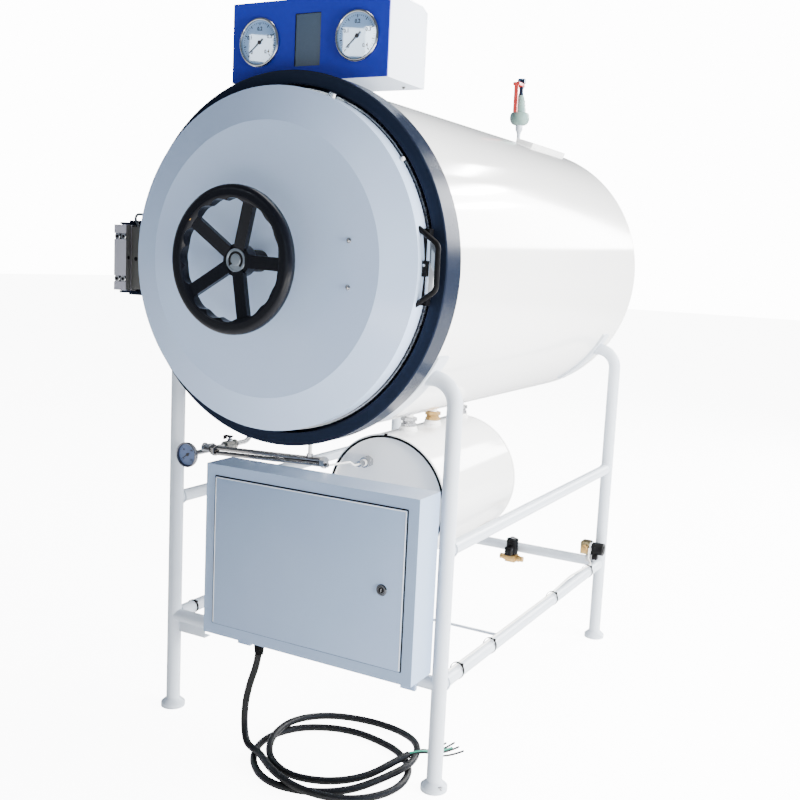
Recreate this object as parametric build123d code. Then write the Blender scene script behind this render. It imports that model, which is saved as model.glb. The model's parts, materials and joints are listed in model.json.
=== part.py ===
from build123d import *
import math
import os

# Horizontal autoclave, in millimetres: X to the right, Y to the back, Z up
# The door faces -Y, and the origin is the middle of the footprint on the floor

# Vessel
axis_z = 1250
ring_r = 435
ring_depth = 72
ring_edge = 2.5
mouth_r = 404
seat_y = 40
jacket_r = 420
jacket_t = 4
jacket_end_y = 1480
head_end_y = 1520
head_knuckle = 25
chamber_r = 350
chamber_t = 6
chamber_end_y = 1300
chamber_dish = 70
chamber_knuckle = 50

# Door
cover_r = 392.5
cover_flat_r = 313.5
cover_back_y = -6
cover_rim_y = -52
cover_flat_y = -79
cover_t = 3
plate_r = 396
plate_y = 2
plate_t = 32
plate_hub_r = 90
gasket_w = 18
handle_y = -35
handle_z = 1255
handle_reach = 429
handle_half = 82
handle_flat = 48
handle_bar_r = 6
handle_strip_w = 9
handle_bend_r = 20
handle_foot_in = 12
latch_up = 14
latch_down = 20
latch_d = 14
latch_proud = 3

# Handwheel
wheel_r = 164
wheel_grip_r = 128
wheel_rim_t = 28
wheel_rim_round = 12
wheel_y = -181
wheel_spokes = 5
spoke_start = -2
spoke_w = 29
spoke_t = 14
spoke_lean = 9
scallops_per_bay = 3
scallop_r = 31.4
scallop_centre_r = 103.6
hub_r = 36
hub_front_y = -166
hub_back_y = -138
cap_r = 26.5
cap_t = 3
boss_r = 24.5
spindle_r = 13
running_gap = 0.05
turning_gap = 2

# Door hinge
hinge_x = -465
hinge_y = -20
hinge_z = 1240
hinge_w = 40
hinge_d = 40
hinge_h = 164
hinge_split_y = -22
hinge_split_t = 1.5
hinge_pin_r = 10
hinge_notch_h = 15
hinge_notch_z = 53
hinge_notch_d = 4
hinge_groove = 3
hinge_hole_r = 4.5
hinge_hole_d = 4
hinge_hole_ys = (-31, -7)
hinge_screw_x = 10
lug_t = 5
lug_r = 14
lug_gap = 1.5
bracket_y = 14
bracket_end_y = 66
bracket_h = 190
bracket_root = 30
arm_t = 14
arm_spread = 45
arm_front_y = -20
arm_back_y = -6
arm_end_x = -330
arm_hook = 45
arm_slack = 1

# Control box
control_w = 437
control_y = 82
control_back_y = 264
control_z = 1676
control_top = 1862
control_slope = 26
control_drop = 11
control_foot = 140
control_foot_y0 = 132
control_foot_y1 = 224
control_foot_sink = 12
panel_t = 4
gauge_r = 57.5
gauge_bezel = 6
gauge_proud = 8
gauge_x = 137
gauge_z = 1768
window_w = 72
window_h = 120
window_sink = 1.5

# Electrical box
cabinet_x0 = -204
cabinet_x1 = 400
cabinet_z0 = 302
cabinet_z1 = 742
cabinet_d = 100
cabinet_t = 2
cabinet_rim = 34
cabinet_hangers = (-150, 340)
hanger_w = 40
hanger_z0 = 246
hanger_z1 = 362
door_lap = 4
door_gap = 0.6
lock_x = 314
lock_z = 517
lock_r = 11
lock_barrel_r = 9
lock_proud = 4
lock_depth = 12
gland_x = -60
gland_y = 45
gland_r = 16
gland_h = 28
gland_dome_r = 12

# Frame
tube_r = 19
leg_x = 411.5
leg_front_y = 128
leg_rear_y = 1361
leg_bend_z = 1000
leg_bend_r = 60
leg_end_x = 300
foot_r = 33
foot_t = 11
foot_skirt = 24
upper_rail_z = 597
lower_rail_z = 266
rail_r = 17
saddle_t = 8
saddle_w = 56
saddle_from = 28
saddle_to = 58

# Steam generator
gen_x = 115
gen_z = 629
gen_r = 178
gen_t = 5
gen_front_y = 352
gen_back_y = 823
gen_recess = 14
gen_plate_t = 10
riser_ys = (465, 610, 790)
riser_r = 12
union_r = 21
union_h = 36
union_z = 837
riser_len = 130
riser_z = 845
probe_x = -64
probe_z = 96
probe_nut_r = 14
probe_nut_h = 26
probe_neck_r = 8
probe_neck_h = 26

# Drain header and thermometer
header_y = 140
header_x0 = -300
header_x1 = 62
header_z = 740
header_rise = 16
header_r = 7
header_step = 13
header_short = 16
tee_x = -318
tee_r = 12
coupling_h = 20
branch_bend_r = 30
stem_bend_r = 14
branch_y = 330
branch_top = 880
thermometer_x = -354
thermometer_y = 94
thermometer_z = 727
thermometer_r = 34
thermometer_t = 13
hand_valve_half = 22
hand_valve_post = 5
hand_valve_neck_h = 12
hand_lever_w = 12
hand_lever_t = 4
hand_lever_front = 70
hand_lever_back = 8

# Solenoid valves
coil_r = 21
coil_len = 52
valve_body = 40
valve_body_h = 28
port_r = 11
port_len = 90
strap_w = 20
drain_valve_x = 108
drain_valve_y = 1308
drain_valve_z = 240
steam_valve_x = 384
steam_valve_y = 1300
steam_valve_z = 330

# Safety valve
valve_y = 1390
valve_neck_r = 10
valve_bulb_r = 34
valve_bulb_z = 1774
valve_bulb_h = 50
bonnet_z = 1798
bonnet_h = 48
bonnet_r0 = 19
bonnet_r1 = 11
stem_r = 8
stem_top = 1886
cap_nut_r = 15
cap_nut_h = 18
lever_y = 1346
lever_z = 1880
lever_low = 1785
lever_w = 14
lever_t = 6
lever_boss_r = 6
fork_t = 4
lever_pin_r = 2.5

# Cover strip on the jacket
strip_from = 70
strip_to = 78
strip_t = 14
strip_y0 = 1160
strip_y1 = 1460

# Power cable
cable_r = 9
bend_share = 0.45
cable_route = [
    (-60, 45, 274), (-60, 45, 214), (-82, 46, 138),
    (-90, 34, 68), (-68, -4, 24), (-16, -40, 12)]
coil_x = 140
coil_y = 125
coil_inner_r = 128
coil_outer_r = 230
coil_h = 38
cores_r = 7
cores_route = [(330, 222, 9), (348, 260, 8), (356, 302, 8), (371, 342, 8)]

os.makedirs("parts", exist_ok=True)

# The footprint runs from the hinge to the right feet, and from the wheel to the rear head
foot_reach = leg_x + foot_r
hinge_reach = hinge_w / 2 - hinge_x
axis_x = (hinge_reach - foot_reach) / 2
front_reach = wheel_rim_t / 2 - wheel_y
face_y = (front_reach - head_end_y) / 2
vessel = Pos(axis_x, face_y, 0)


def save(name, shape):
    export_step(shape, f"parts/{name}.step")


def place(shape):
    """Moves a shape from the vessel's frame, with its axis over X 0 and the ring's face at Y 0."""
    return vessel * shape


def turned(points):
    """Turns an outline of (radius, y) points about the vessel's axis."""
    return Pos(0, 0, axis_z) * revolve(make_face(Polyline(*points, close=True)), Axis.Y)


def disc(radius, y0, y1, x=0, z=axis_z):
    """A round bar along Y between two stations."""
    return Pos(x, (y0 + y1) / 2, z) * Rot(90, 0, 0) * Cylinder(radius, abs(y1 - y0))


def tube(points, bends, radius):
    """A round bar along straight runs with tangent bends."""
    path = FilletPolyline(*points, radius=bends) if len(points) > 2 else Line(*points)
    return sweep(Plane(path @ 0, z_dir=path % 0) * Circle(radius), path)


def block(x0, x1, y0, y1, z0, z1):
    """A box between two stations on each axis."""
    return Pos((x0 + x1) / 2, (y0 + y1) / 2, (z0 + z1) / 2) * Box(x1 - x0, y1 - y0, z1 - z0)


def cross_bar(radius, x0, x1, y, z):
    """A round bar along X between two stations."""
    return Pos((x0 + x1) / 2, y, z) * Rot(0, 90, 0) * Cylinder(radius, x1 - x0)


def post(radius, x, y, z0, z1):
    """A round bar along Z between two heights."""
    return Pos(x, y, (z0 + z1) / 2) * Cylinder(radius, z1 - z0)


def on_circle(radius, degrees):
    """A point on a circle, with its angle in the XZ plane."""
    angle = math.radians(degrees)
    return radius * math.cos(angle), radius * math.sin(angle)


def ring_arc(r0, r1, from_deg, to_deg, y0, y1):
    """Part of a ring about the vessel's axis, with angles in the XZ plane."""
    angles = (from_deg, (from_deg + to_deg) / 2, to_deg)
    inner = [on_circle(r0, a) for a in angles]
    outer = [on_circle(r1, a) for a in angles]
    edges = [ThreePointArc(*inner), ThreePointArc(*outer)]
    edges += [Line(inner[0], outer[0]), Line(inner[-1], outer[-1])]
    face = Plane.XZ * make_face(edges)
    return Pos(0, y1, axis_z) * extrude(face, y1 - y0)


# Vessel pieces
def make_flange_ring():
    chamber_fit = chamber_r + chamber_t
    edge_r = ring_r - ring_edge
    outside = [(mouth_r, 0), (edge_r, 0), (ring_r, ring_edge), (ring_r, ring_depth - ring_edge)]
    inside = [(edge_r, ring_depth), (chamber_fit, ring_depth), (chamber_fit, seat_y), (mouth_r, seat_y)]
    return turned(outside + inside)


def open_shell(radius, thickness, y0, y1):
    """A plain round shell about the vessel's axis, open at both ends."""
    inner_r = radius - thickness
    return turned([(inner_r, y0), (radius, y0), (radius, y1), (inner_r, y1)])


def dish_edges(radius, start_y, end_y, knuckle):
    """The knuckle and the crown of a flanged end, tangent to the shell and to each other."""
    a = radius - knuckle
    depth = end_y - start_y
    crown_r = (a * a + depth * depth - knuckle * knuckle) / (2 * (depth - knuckle))
    angle = math.asin(a / (crown_r - knuckle))

    def on_crown(t):
        return crown_r * math.sin(t), end_y - crown_r + crown_r * math.cos(t)

    def on_knuckle(t):
        return a + knuckle * math.sin(t), start_y + knuckle * math.cos(t)

    bend = ThreePointArc(on_knuckle(math.pi / 2), on_knuckle((math.pi / 2 + angle) / 2), on_knuckle(angle))
    crown = ThreePointArc(on_crown(angle), on_crown(angle / 2), (0, end_y))
    return bend, crown


def dished_end(radius, thickness, start_y, end_y, knuckle):
    """A flanged end: a knuckle, then a shallow crown, of even thickness."""
    outer = dish_edges(radius, start_y, end_y, knuckle)
    inner = dish_edges(radius - thickness, start_y, end_y - thickness, knuckle - thickness)
    rim = Line((radius - thickness, start_y), (radius, start_y))
    tip = Line((0, end_y), (0, end_y - thickness))
    return Pos(0, 0, axis_z) * revolve(make_face([rim, *outer, tip, *inner]), Axis.Y)


# Door pieces
def make_cover():
    """A bevelled pan of sheet, with slots for the hinge arms."""
    inner_r = cover_r - cover_t
    inner_y = cover_flat_y + cover_t
    outside = [(0, cover_flat_y), (cover_flat_r, cover_flat_y), (cover_r, cover_rim_y), (cover_r, cover_back_y)]
    inside = [(inner_r, cover_back_y), (inner_r, cover_rim_y + cover_t), (cover_flat_r, inner_y), (0, inner_y)]
    return turned(outside + inside) - arm_slots()


def arm_levels():
    return [hinge_z + side * arm_spread - arm_t / 2 for side in (-1, 1)]


def arm_slots():
    """Slots in the rim of the cover for the two hinge arms."""
    y0, y1 = arm_front_y - arm_slack, cover_back_y + arm_slack
    levels = [(z - arm_slack, z + arm_t + arm_slack) for z in arm_levels()]
    return [block(-cover_r - arm_slack, arm_end_x, y0, y1, z0, z1) for z0, z1 in levels]


def make_plate():
    return disc(plate_r, plate_y, plate_y + plate_t) + disc(plate_hub_r, cover_flat_y + cover_t, plate_y)


def make_gasket():
    inner = chamber_r + chamber_t
    outer = inner + gasket_w
    return turned([(inner, plate_y + plate_t), (outer, plate_y + plate_t), (outer, seat_y), (inner, seat_y)])


def make_pull_handle():
    """A bow over a strip on the cover's rim, with a latch block at its middle."""
    foot_x = cover_r - handle_foot_in
    upper = [(foot_x, handle_half), (handle_reach, handle_flat)]
    lower = [(handle_reach, -handle_flat), (foot_x, -handle_half)]
    route = [(x, handle_y, handle_z + dz) for x, dz in upper + lower]
    bow = tube(route, [handle_bend_r, handle_bend_r], handle_bar_r)
    strip_x = cover_r + handle_strip_w
    z0, z1 = handle_z - handle_half, handle_z + handle_half
    strip = block(foot_x, strip_x, handle_y + 2 * handle_bar_r, cover_back_y, z0, z1)
    z0, z1 = handle_z - latch_down, handle_z + latch_up
    latch = block(foot_x, strip_x + latch_proud, handle_y, handle_y + latch_d, z0, z1)
    return bow + strip + latch - disc(cover_r + running_gap, cover_flat_y, cover_back_y)


def make_hinge_block():
    """Two clamped halves on the pin, with notches for the screw heads."""
    half_w, half_d, half_h = hinge_w / 2, hinge_d / 2, hinge_h / 2
    x0, x1 = hinge_x - half_w, hinge_x + half_w
    y0, y1 = hinge_y - half_d, hinge_y + half_d
    z0, z1 = hinge_z - half_h, hinge_z + half_h
    body = block(x0, x1, y0, y1, z0, z1)
    body -= block(x1 - hinge_groove, x1, hinge_split_y, hinge_split_y + hinge_split_t, z0, z1)
    floor_y = y0 + hinge_notch_d
    for side in (-1, 1):
        z = hinge_z + side * hinge_notch_z
        body -= block(x0, x1, y0, floor_y, z - hinge_notch_h / 2, z + hinge_notch_h / 2)
        for dx in (-hinge_screw_x, hinge_screw_x):
            body += disc(hinge_hole_r, y0 + 1, floor_y + 1, hinge_x + dx, z)
    for y in hinge_hole_ys:
        body -= cross_bar(hinge_hole_r, x1 - hinge_hole_d, x1, y, hinge_z)
    return body - post(hinge_pin_r + running_gap, hinge_x, hinge_y, z0, z1)


def make_hinge_arms():
    """Two flat arms that end in a foot on the door plate."""
    arms = []
    for z0 in arm_levels():
        bar = block(hinge_x + hinge_w / 2, arm_end_x, arm_front_y, arm_back_y, z0, z0 + arm_t)
        bar += block(arm_end_x - arm_hook, arm_end_x, arm_back_y - arm_slack, plate_y, z0, z0 + arm_t)
        arms.append(bar)
    return arms


def wheel_scallops(bay):
    """Round cutters for the finger grips, three between each two spokes."""
    step = (bay - math.degrees(spoke_w / wheel_grip_r)) / scallops_per_bay
    y0, y1 = wheel_y - wheel_rim_t, wheel_y + wheel_rim_t
    cutters = []
    for i in range(wheel_spokes):
        for k in range(scallops_per_bay):
            x, z = on_circle(scallop_centre_r, spoke_start + bay * (i + 1 / 2) + step * (k - 1))
            cutters.append(disc(scallop_r, y0, y1, x, axis_z + z))
    return cutters


def make_handwheel():
    """A rounded rim with finger grips, five leaning spokes and a hub."""
    grip_w = wheel_r - wheel_grip_r
    section = Pos(wheel_r - grip_w / 2, 0) * RectangleRounded(grip_w, wheel_rim_t, wheel_rim_round)
    rim = Pos(0, wheel_y, axis_z) * revolve(section, Axis.Y)
    bay = 360 / wheel_spokes
    wheel = disc(hub_r, hub_front_y, hub_back_y) + (rim - wheel_scallops(bay))
    reach = (wheel_r + hub_r) / 2 - grip_w / 4
    leaning = Pos(reach, 0, 0) * Rot(0, 0, -spoke_lean) * Box(wheel_r - hub_r, spoke_t, spoke_w)
    for i in range(wheel_spokes):
        spoke = Rot(0, -(spoke_start + bay * i), 0) * leaning
        wheel += Pos(0, (wheel_y + hub_front_y) / 2, axis_z) * spoke
    return wheel - disc(spindle_r + running_gap, wheel_y, hub_back_y)


def make_cap():
    return disc(cap_r, hub_front_y - cap_t, hub_front_y)


def make_boss():
    back_y = hub_back_y + turning_gap
    return disc(boss_r, cover_flat_y, back_y) - disc(spindle_r, cover_flat_y, back_y)


def make_spindle():
    return disc(spindle_r, cover_flat_y, hub_front_y + 1)


# Hinge bracket on the ring
def make_hinge_bracket():
    """A plate on the ring's side with a lug above and below the hinge block."""
    half_h = bracket_h / 2
    root_x = bracket_root - ring_r
    body = block(hinge_x - hinge_w / 2, root_x, bracket_y, bracket_end_y, hinge_z - half_h, hinge_z + half_h)
    for side in (-1, 1):
        z = hinge_z + side * (hinge_h / 2 + lug_gap + lug_t / 2)
        z0, z1 = z - lug_t / 2, z + lug_t / 2
        body += block(hinge_x - lug_r, hinge_x + lug_r, hinge_y, bracket_y, z0, z1)
        body += post(lug_r, hinge_x, hinge_y, z0, z1)
    body -= post(hinge_pin_r, hinge_x, hinge_y, hinge_z - half_h, hinge_z + half_h)
    return body - disc(ring_r, 0, ring_depth)


def make_hinge_pin():
    half = hinge_h / 2 + lug_gap + lug_t
    return post(hinge_pin_r, hinge_x, hinge_y, hinge_z - half, hinge_z + half)


# Control box on top
def make_control_box():
    """A folded case with a sloping top edge at the back, on a foot that follows the jacket."""
    y0, y1 = control_y + panel_t, control_back_y
    slope_y, slope_z = control_back_y - control_slope, control_top - control_drop
    corners = [(y0, control_z), (y1, control_z), (y1, slope_z), (slope_y, control_top), (y0, control_top)]
    outline = Plane.YZ.offset(-control_w / 2) * make_face(Polyline(*corners, close=True))
    half = control_foot / 2
    foot_z = axis_z + jacket_r - control_foot_sink
    foot = block(-half, half, control_foot_y0, control_foot_y1, foot_z, control_z)
    return extrude(outline, control_w) + (foot - disc(jacket_r, 0, control_back_y))


def window_block(y0, y1):
    """A block of the display window's size between two stations."""
    half_w, half_h = window_w / 2, window_h / 2
    return block(-half_w, half_w, y0, y1, gauge_z - half_h, gauge_z + half_h)


def make_control_front():
    half_w = control_w / 2
    front = block(-half_w, half_w, control_y, control_y + panel_t, control_z, control_top)
    return front - window_block(control_y, control_y + panel_t)


def make_window():
    return window_block(control_y + window_sink, control_y + panel_t)


def make_gauge(side):
    """A round case with its dial sunk behind the bezel."""
    x = side * gauge_x
    front_y = control_y - gauge_proud
    case = disc(gauge_r, front_y, control_y, x, gauge_z)
    return case - disc(gauge_r - gauge_bezel, front_y, front_y + gauge_bezel / 2, x, gauge_z)


# Electrical box
def box_block(inset, y0, y1):
    """A block with the box's outline, pulled in on all four sides."""
    x0, x1 = cabinet_x0 + inset, cabinet_x1 - inset
    return block(x0, x1, y0, y1, cabinet_z0 + inset, cabinet_z1 - inset)


def make_cabinet():
    """A hollow box with a rim round its opening and two hangers behind it."""
    body = box_block(0, 0, cabinet_d)
    body -= box_block(cabinet_t, cabinet_t, cabinet_d - cabinet_t)
    body -= box_block(cabinet_rim, 0, cabinet_t)
    for x in cabinet_hangers:
        x0, x1 = x - hanger_w / 2, x + hanger_w / 2
        body += block(x0, x1, cabinet_d, leg_front_y - rail_r, hanger_z0, hanger_z1)
    return body


def make_cabinet_door():
    """A flat door whose rolled left edge lies on the hinge line."""
    margin = cabinet_rim - door_lap
    x0, z0, z1 = cabinet_x0 + margin, cabinet_z0 + margin, cabinet_z1 - margin
    roll = cabinet_t / 2
    front_y = -door_gap - cabinet_t
    plate = block(x0 + roll, cabinet_x1 - margin, front_y, -door_gap, z0, z1)
    plate -= disc(lock_barrel_r, front_y, -door_gap, lock_x, lock_z)
    return plate + post(roll, x0 + roll, -door_gap - roll, z0, z1)


def make_cabinet_lock():
    front_y = -door_gap - cabinet_t
    collar = disc(lock_r, front_y - lock_proud, front_y, lock_x, lock_z)
    return collar + disc(lock_barrel_r, front_y, lock_depth, lock_x, lock_z)


def make_gland():
    """A hexagon nut under the box's floor, with a dome under it."""
    nut_z = cabinet_z0 - gland_h / 2
    nut = Pos(gland_x, gland_y, nut_z) * extrude(RegularPolygon(gland_r, 6), gland_h / 2)
    return nut + post(gland_dome_r, gland_x, gland_y, nut_z - gland_h / 2, nut_z)


# Frame
def jacket_cut(y0, y1, radius=jacket_r):
    return disc(radius, y0, y1)


def make_leg(side, y):
    """A tube from its foot up and over to the vessel's saddle."""
    x = side * leg_x
    points = [(x, y, foot_t), (x, y, leg_bend_z), (side * leg_end_x, y, leg_bend_z)]
    leg = tube(points, [leg_bend_r], tube_r)
    leg -= jacket_cut(y - tube_r, y + tube_r, jacket_r + saddle_t)
    outline = [(0, 0), (foot_r, 0), (foot_r, foot_t), (tube_r, foot_skirt), (0, foot_skirt)]
    foot = revolve(Plane.XZ * make_face(Polyline(*outline, close=True)), Axis.Z)
    return leg + Pos(x, y, 0) * foot


def make_saddle(y):
    """A curved pad on each side of the vessel."""
    y0, y1 = y - saddle_w / 2, y + saddle_w / 2
    outer_r = jacket_r + saddle_t
    right_pad = ring_arc(jacket_r, outer_r, -saddle_to, -saddle_from, y0, y1)
    left_pad = ring_arc(jacket_r, outer_r, 180 + saddle_from, 180 + saddle_to, y0, y1)
    return [right_pad, left_pad]


def leg_bar(side, y, z):
    """The leg's tube beside a rail's end, to cut the rail with."""
    return post(tube_r, side * leg_x, y, z - 2 * rail_r, z + 2 * rail_r)


def make_side_rail(side, z):
    rail = disc(rail_r, leg_front_y, leg_rear_y, side * leg_x, z)
    return rail - [leg_bar(side, y, z) for y in (leg_front_y, leg_rear_y)]


def make_cross_rail(y):
    rail = cross_bar(rail_r, -leg_x, leg_x, y, lower_rail_z)
    for side in (-1, 1):
        rail -= leg_bar(side, y, lower_rail_z)
        rail -= disc(rail_r, leg_front_y, leg_rear_y, side * leg_x, lower_rail_z)
    return rail


# Steam generator
def gen_disc(radius, y0, y1):
    return disc(radius, y0, y1, gen_x, gen_z)


def make_generator_shell():
    return gen_disc(gen_r, gen_front_y, gen_back_y) - gen_disc(gen_r - gen_t, gen_front_y, gen_back_y)


def make_risers():
    """Pipes from the generator to the vessel, each with a hexagon union."""
    risers = []
    for y in riser_ys:
        bar = post(riser_r, gen_x, y, riser_z - riser_len / 2, riser_z + riser_len / 2)
        bar += Pos(gen_x, y, union_z) * extrude(RegularPolygon(union_r, 6), union_h / 2, both=True)
        y0, y1 = y - union_r, y + union_r
        risers.append(bar - gen_disc(gen_r, y0, y1) - jacket_cut(y0, y1))
    return risers


def make_probe():
    """A probe in the generator's front plate: a nut and a thinner neck."""
    x, z = gen_x + probe_x, gen_z + probe_z
    plate_y = gen_front_y + gen_recess
    nut_y = plate_y - probe_nut_h
    return disc(probe_nut_r, nut_y, plate_y, x, z) + disc(probe_neck_r, nut_y - probe_neck_h, nut_y, x, z)


# Drain header
def make_header():
    """Two tubes side by side, a tee, a branch to the vessel and a thermometer on its stem."""
    z1 = header_z + header_rise
    pipes = tube([(header_x0, header_y, header_z), (header_x1, header_y, z1)], [], header_r)
    upper_start = (header_x0, header_y, header_z + header_step)
    upper_end = (header_x1 - header_short, header_y, z1 + header_step)
    pipes += tube([upper_start, upper_end], [], header_r)
    pipes += cross_bar(tee_r, header_x1 - tee_r, header_x1 - tee_r + coupling_h, header_y, z1)
    top_z = header_z + header_step + header_r
    y0, y1 = header_y - tee_r, header_y + tee_r
    pipes += block(tee_x - tee_r, tee_x + tee_r + header_r, y0, y1, header_z - tee_r, top_z)
    tee = (tee_x, header_y, header_z)
    pipes += tube([tee, (tee_x, branch_y, header_z), (tee_x, branch_y, branch_top)], [branch_bend_r], header_r)
    bend = (thermometer_x, header_y, thermometer_z)
    case_back = thermometer_y + thermometer_t
    pipes += tube([(thermometer_x, case_back - header_r, thermometer_z), bend, tee], [stem_bend_r], header_r)
    pipes += disc(thermometer_r, thermometer_y, case_back, thermometer_x, thermometer_z)
    return pipes - jacket_cut(branch_y - tee_r, branch_y + tee_r)


def lever_bar(half_w, y0, y1, z0, z1):
    """A bar over the branch, as wide on both sides of it."""
    return block(tee_x - half_w, tee_x + half_w, y0, y1, z0, z1)


def make_hand_valve():
    """A valve body round the branch, with its spindle and a flat lever."""
    y = (header_y + branch_y) / 2
    top_z = header_z + tee_r
    lever_z0 = top_z + hand_valve_neck_h
    body = lever_bar(tee_r, y - hand_valve_half, y + hand_valve_half, header_z - tee_r, top_z)
    body += lever_bar(hand_valve_post, y - hand_valve_post, y + hand_valve_post, top_z, lever_z0)
    lever_y0, lever_y1 = y - hand_lever_front, y + hand_lever_back
    body += lever_bar(hand_lever_w / 2, lever_y0, lever_y1, lever_z0, lever_z0 + hand_lever_t)
    return body - disc(header_r, header_y, branch_y, tee_x, header_z)


# Solenoid valves
def make_drain_valve():
    """A brass body before the rear cross rail, with its coil on top."""
    x, y, z = drain_valve_x, drain_valve_y, drain_valve_z
    half = valve_body / 2
    top_z = z + valve_body_h / 2
    valve = block(x - half, x + half, y - half, y + half, z - valve_body_h / 2, top_z)
    valve += post(coil_r, x, y, top_z, top_z + coil_len)
    valve += cross_bar(port_r, x - port_len / 2, x + port_len / 2, y, z)
    valve += block(x - strap_w / 2, x + strap_w / 2, y + half, leg_rear_y, z, top_z)
    return valve - cross_bar(rail_r, -leg_x, leg_x, leg_rear_y, lower_rail_z)


def make_steam_valve():
    """A brass body over the right lower rail, with its coil pointing away from the machine."""
    x, y, z = steam_valve_x, steam_valve_y, steam_valve_z
    half = valve_body / 2
    coil_x0 = x + half / 2
    valve = block(x - half, coil_x0, y - half, y + half, z - half, z + half)
    valve += cross_bar(coil_r, coil_x0, foot_reach, y, z)
    valve += block(x, x + strap_w, y - strap_w / 2, y + strap_w / 2, lower_rail_z, z)
    return valve - disc(rail_r, y - half, y + half, leg_x, lower_rail_z)


# Safety valve
def upright(radius, z0, z1):
    """A round bar on the safety valve's axis."""
    return Pos(0, valve_y, (z0 + z1) / 2) * Cylinder(radius, z1 - z0)


def make_safety_valve():
    """A neck, a bulb between two flats, a bonnet cone, a stem and a hexagon cap."""
    valve = upright(valve_neck_r, axis_z, valve_bulb_z)
    bulb = Pos(0, valve_y, valve_bulb_z) * Sphere(valve_bulb_r)
    half = valve_bulb_h / 2
    valve += bulb & upright(valve_bulb_r, valve_bulb_z - half, valve_bulb_z + half)
    valve += Pos(0, valve_y, bonnet_z + bonnet_h / 2) * Cone(bonnet_r0, bonnet_r1, bonnet_h)
    valve += upright(stem_r, bonnet_z + bonnet_h, stem_top)
    valve += Pos(0, valve_y, stem_top) * extrude(RegularPolygon(cap_nut_r, 6), cap_nut_h)
    return valve - jacket_cut(valve_y - valve_neck_r, valve_y + valve_neck_r)


def lever_bore(radius, half_w):
    """A bar on the lever's pivot line, as long on both sides."""
    return cross_bar(radius, -half_w, half_w, lever_y, lever_z)


def make_safety_lever():
    """A flat lever with a round boss at its pivot."""
    half_w, half_t = lever_w / 2, lever_t / 2
    arm = block(-half_w, half_w, lever_y - half_t, lever_y + half_t, lever_low, lever_z)
    arm += lever_bore(lever_boss_r, half_w)
    return arm - lever_bore(lever_pin_r + running_gap, half_w)


def make_lever_fork():
    """The fork that carries the lever's pivot on the stem."""
    half_w = lever_w / 2 + fork_t
    slot_w = lever_w / 2 + 1
    fork = block(-half_w, half_w, lever_y - fork_t, valve_y, lever_z - fork_t, lever_z + fork_t)
    slot_y = lever_y + lever_boss_r + fork_t
    fork -= block(-slot_w, slot_w, lever_y - fork_t, slot_y, lever_z - fork_t, lever_z + fork_t)
    return fork + lever_bore(lever_pin_r, half_w)


def make_top_cover():
    return ring_arc(jacket_r, jacket_r + strip_t, strip_from, strip_to, strip_y0, strip_y1)


# Power cable: a lead from the gland, a loose coil on the floor, bare cores
def bend_radii(points):
    """The largest tangent arcs that the runs allow."""
    radii = []
    for a, b, c in zip(points, points[1:], points[2:]):
        before = Vector(*b) - Vector(*a)
        after = Vector(*c) - Vector(*b)
        half = math.radians(before.get_angle(after)) / 2
        radii.append(bend_share * min(before.length, after.length) / math.tan(half))
    return radii


def cord(route, radius):
    """A round cord with the widest bends that its route allows."""
    path = FilletPolyline(*route, radius=bend_radii(route))
    print("cord length", round(path.length))
    return sweep(Plane(path @ 0, z_dir=path % 0) * Circle(radius), path)


def make_coil():
    ring = Cylinder(coil_outer_r, coil_h) - Cylinder(coil_inner_r, coil_h)
    return Pos(coil_x, coil_y, coil_h / 2) * ring


save("flange_ring", place(make_flange_ring()))
save("outer_jacket", place(open_shell(jacket_r, jacket_t, ring_depth, jacket_end_y)))
save("rear_head", place(dished_end(jacket_r, jacket_t, jacket_end_y, head_end_y, head_knuckle)))
chamber_outer_r = chamber_r + chamber_t
chamber_tip_y = chamber_end_y + chamber_dish
save("chamber_shell", place(open_shell(chamber_outer_r, chamber_t, seat_y, chamber_end_y)))
chamber_end = dished_end(chamber_outer_r, chamber_t, chamber_end_y, chamber_tip_y, chamber_knuckle)
save("chamber_end", place(chamber_end))
save("hinge_bracket", place(make_hinge_bracket()))
save("hinge_pin", place(make_hinge_pin()))

save("door_cover", place(make_cover()))
save("door_plate", place(make_plate()))
save("door_gasket", place(make_gasket()))
save("door_pull_handle", place(make_pull_handle()))
save("hinge_block", place(make_hinge_block()))
save("hinge_arms", Compound(children=[place(a) for a in make_hinge_arms()]))
save("spindle_boss", place(make_boss()))
save("door_spindle", place(make_spindle()))

save("handwheel", place(make_handwheel()))
save("handwheel_cap", place(make_cap()))

save("control_box", place(make_control_box()))
save("control_front", place(make_control_front()))
save("display_window", place(make_window()))
save("gauge_left", place(make_gauge(-1)))
save("gauge_right", place(make_gauge(1)))

save("electrical_box", place(make_cabinet()))
save("electrical_box_door", place(make_cabinet_door()))
save("box_lock", place(make_cabinet_lock()))
save("cable_gland", place(make_gland()))

for row, y in (("front", leg_front_y), ("rear", leg_rear_y)):
    for hand, side in (("left", -1), ("right", 1)):
        save(f"leg_{row}_{hand}", place(make_leg(side, y)))
    save(f"saddle_{row}", Compound(children=[place(p) for p in make_saddle(y)]))
    save(f"cross_rail_{row}", place(make_cross_rail(y)))
for hand, side in (("left", -1), ("right", 1)):
    save(f"upper_rail_{hand}", place(make_side_rail(side, upper_rail_z)))
    save(f"lower_rail_{hand}", place(make_side_rail(side, lower_rail_z)))

save("generator_shell", place(make_generator_shell()))
gen_plate_r = gen_r - gen_t
gen_plate_y = gen_front_y + gen_recess
save("generator_front", place(gen_disc(gen_plate_r, gen_plate_y, gen_plate_y + gen_plate_t)))
save("generator_rear", place(gen_disc(gen_plate_r, gen_back_y - 2 * gen_plate_t, gen_back_y - gen_plate_t)))
save("generator_probe", place(make_probe()))
save("steam_risers", Compound(children=[place(r) for r in make_risers()]))

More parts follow.
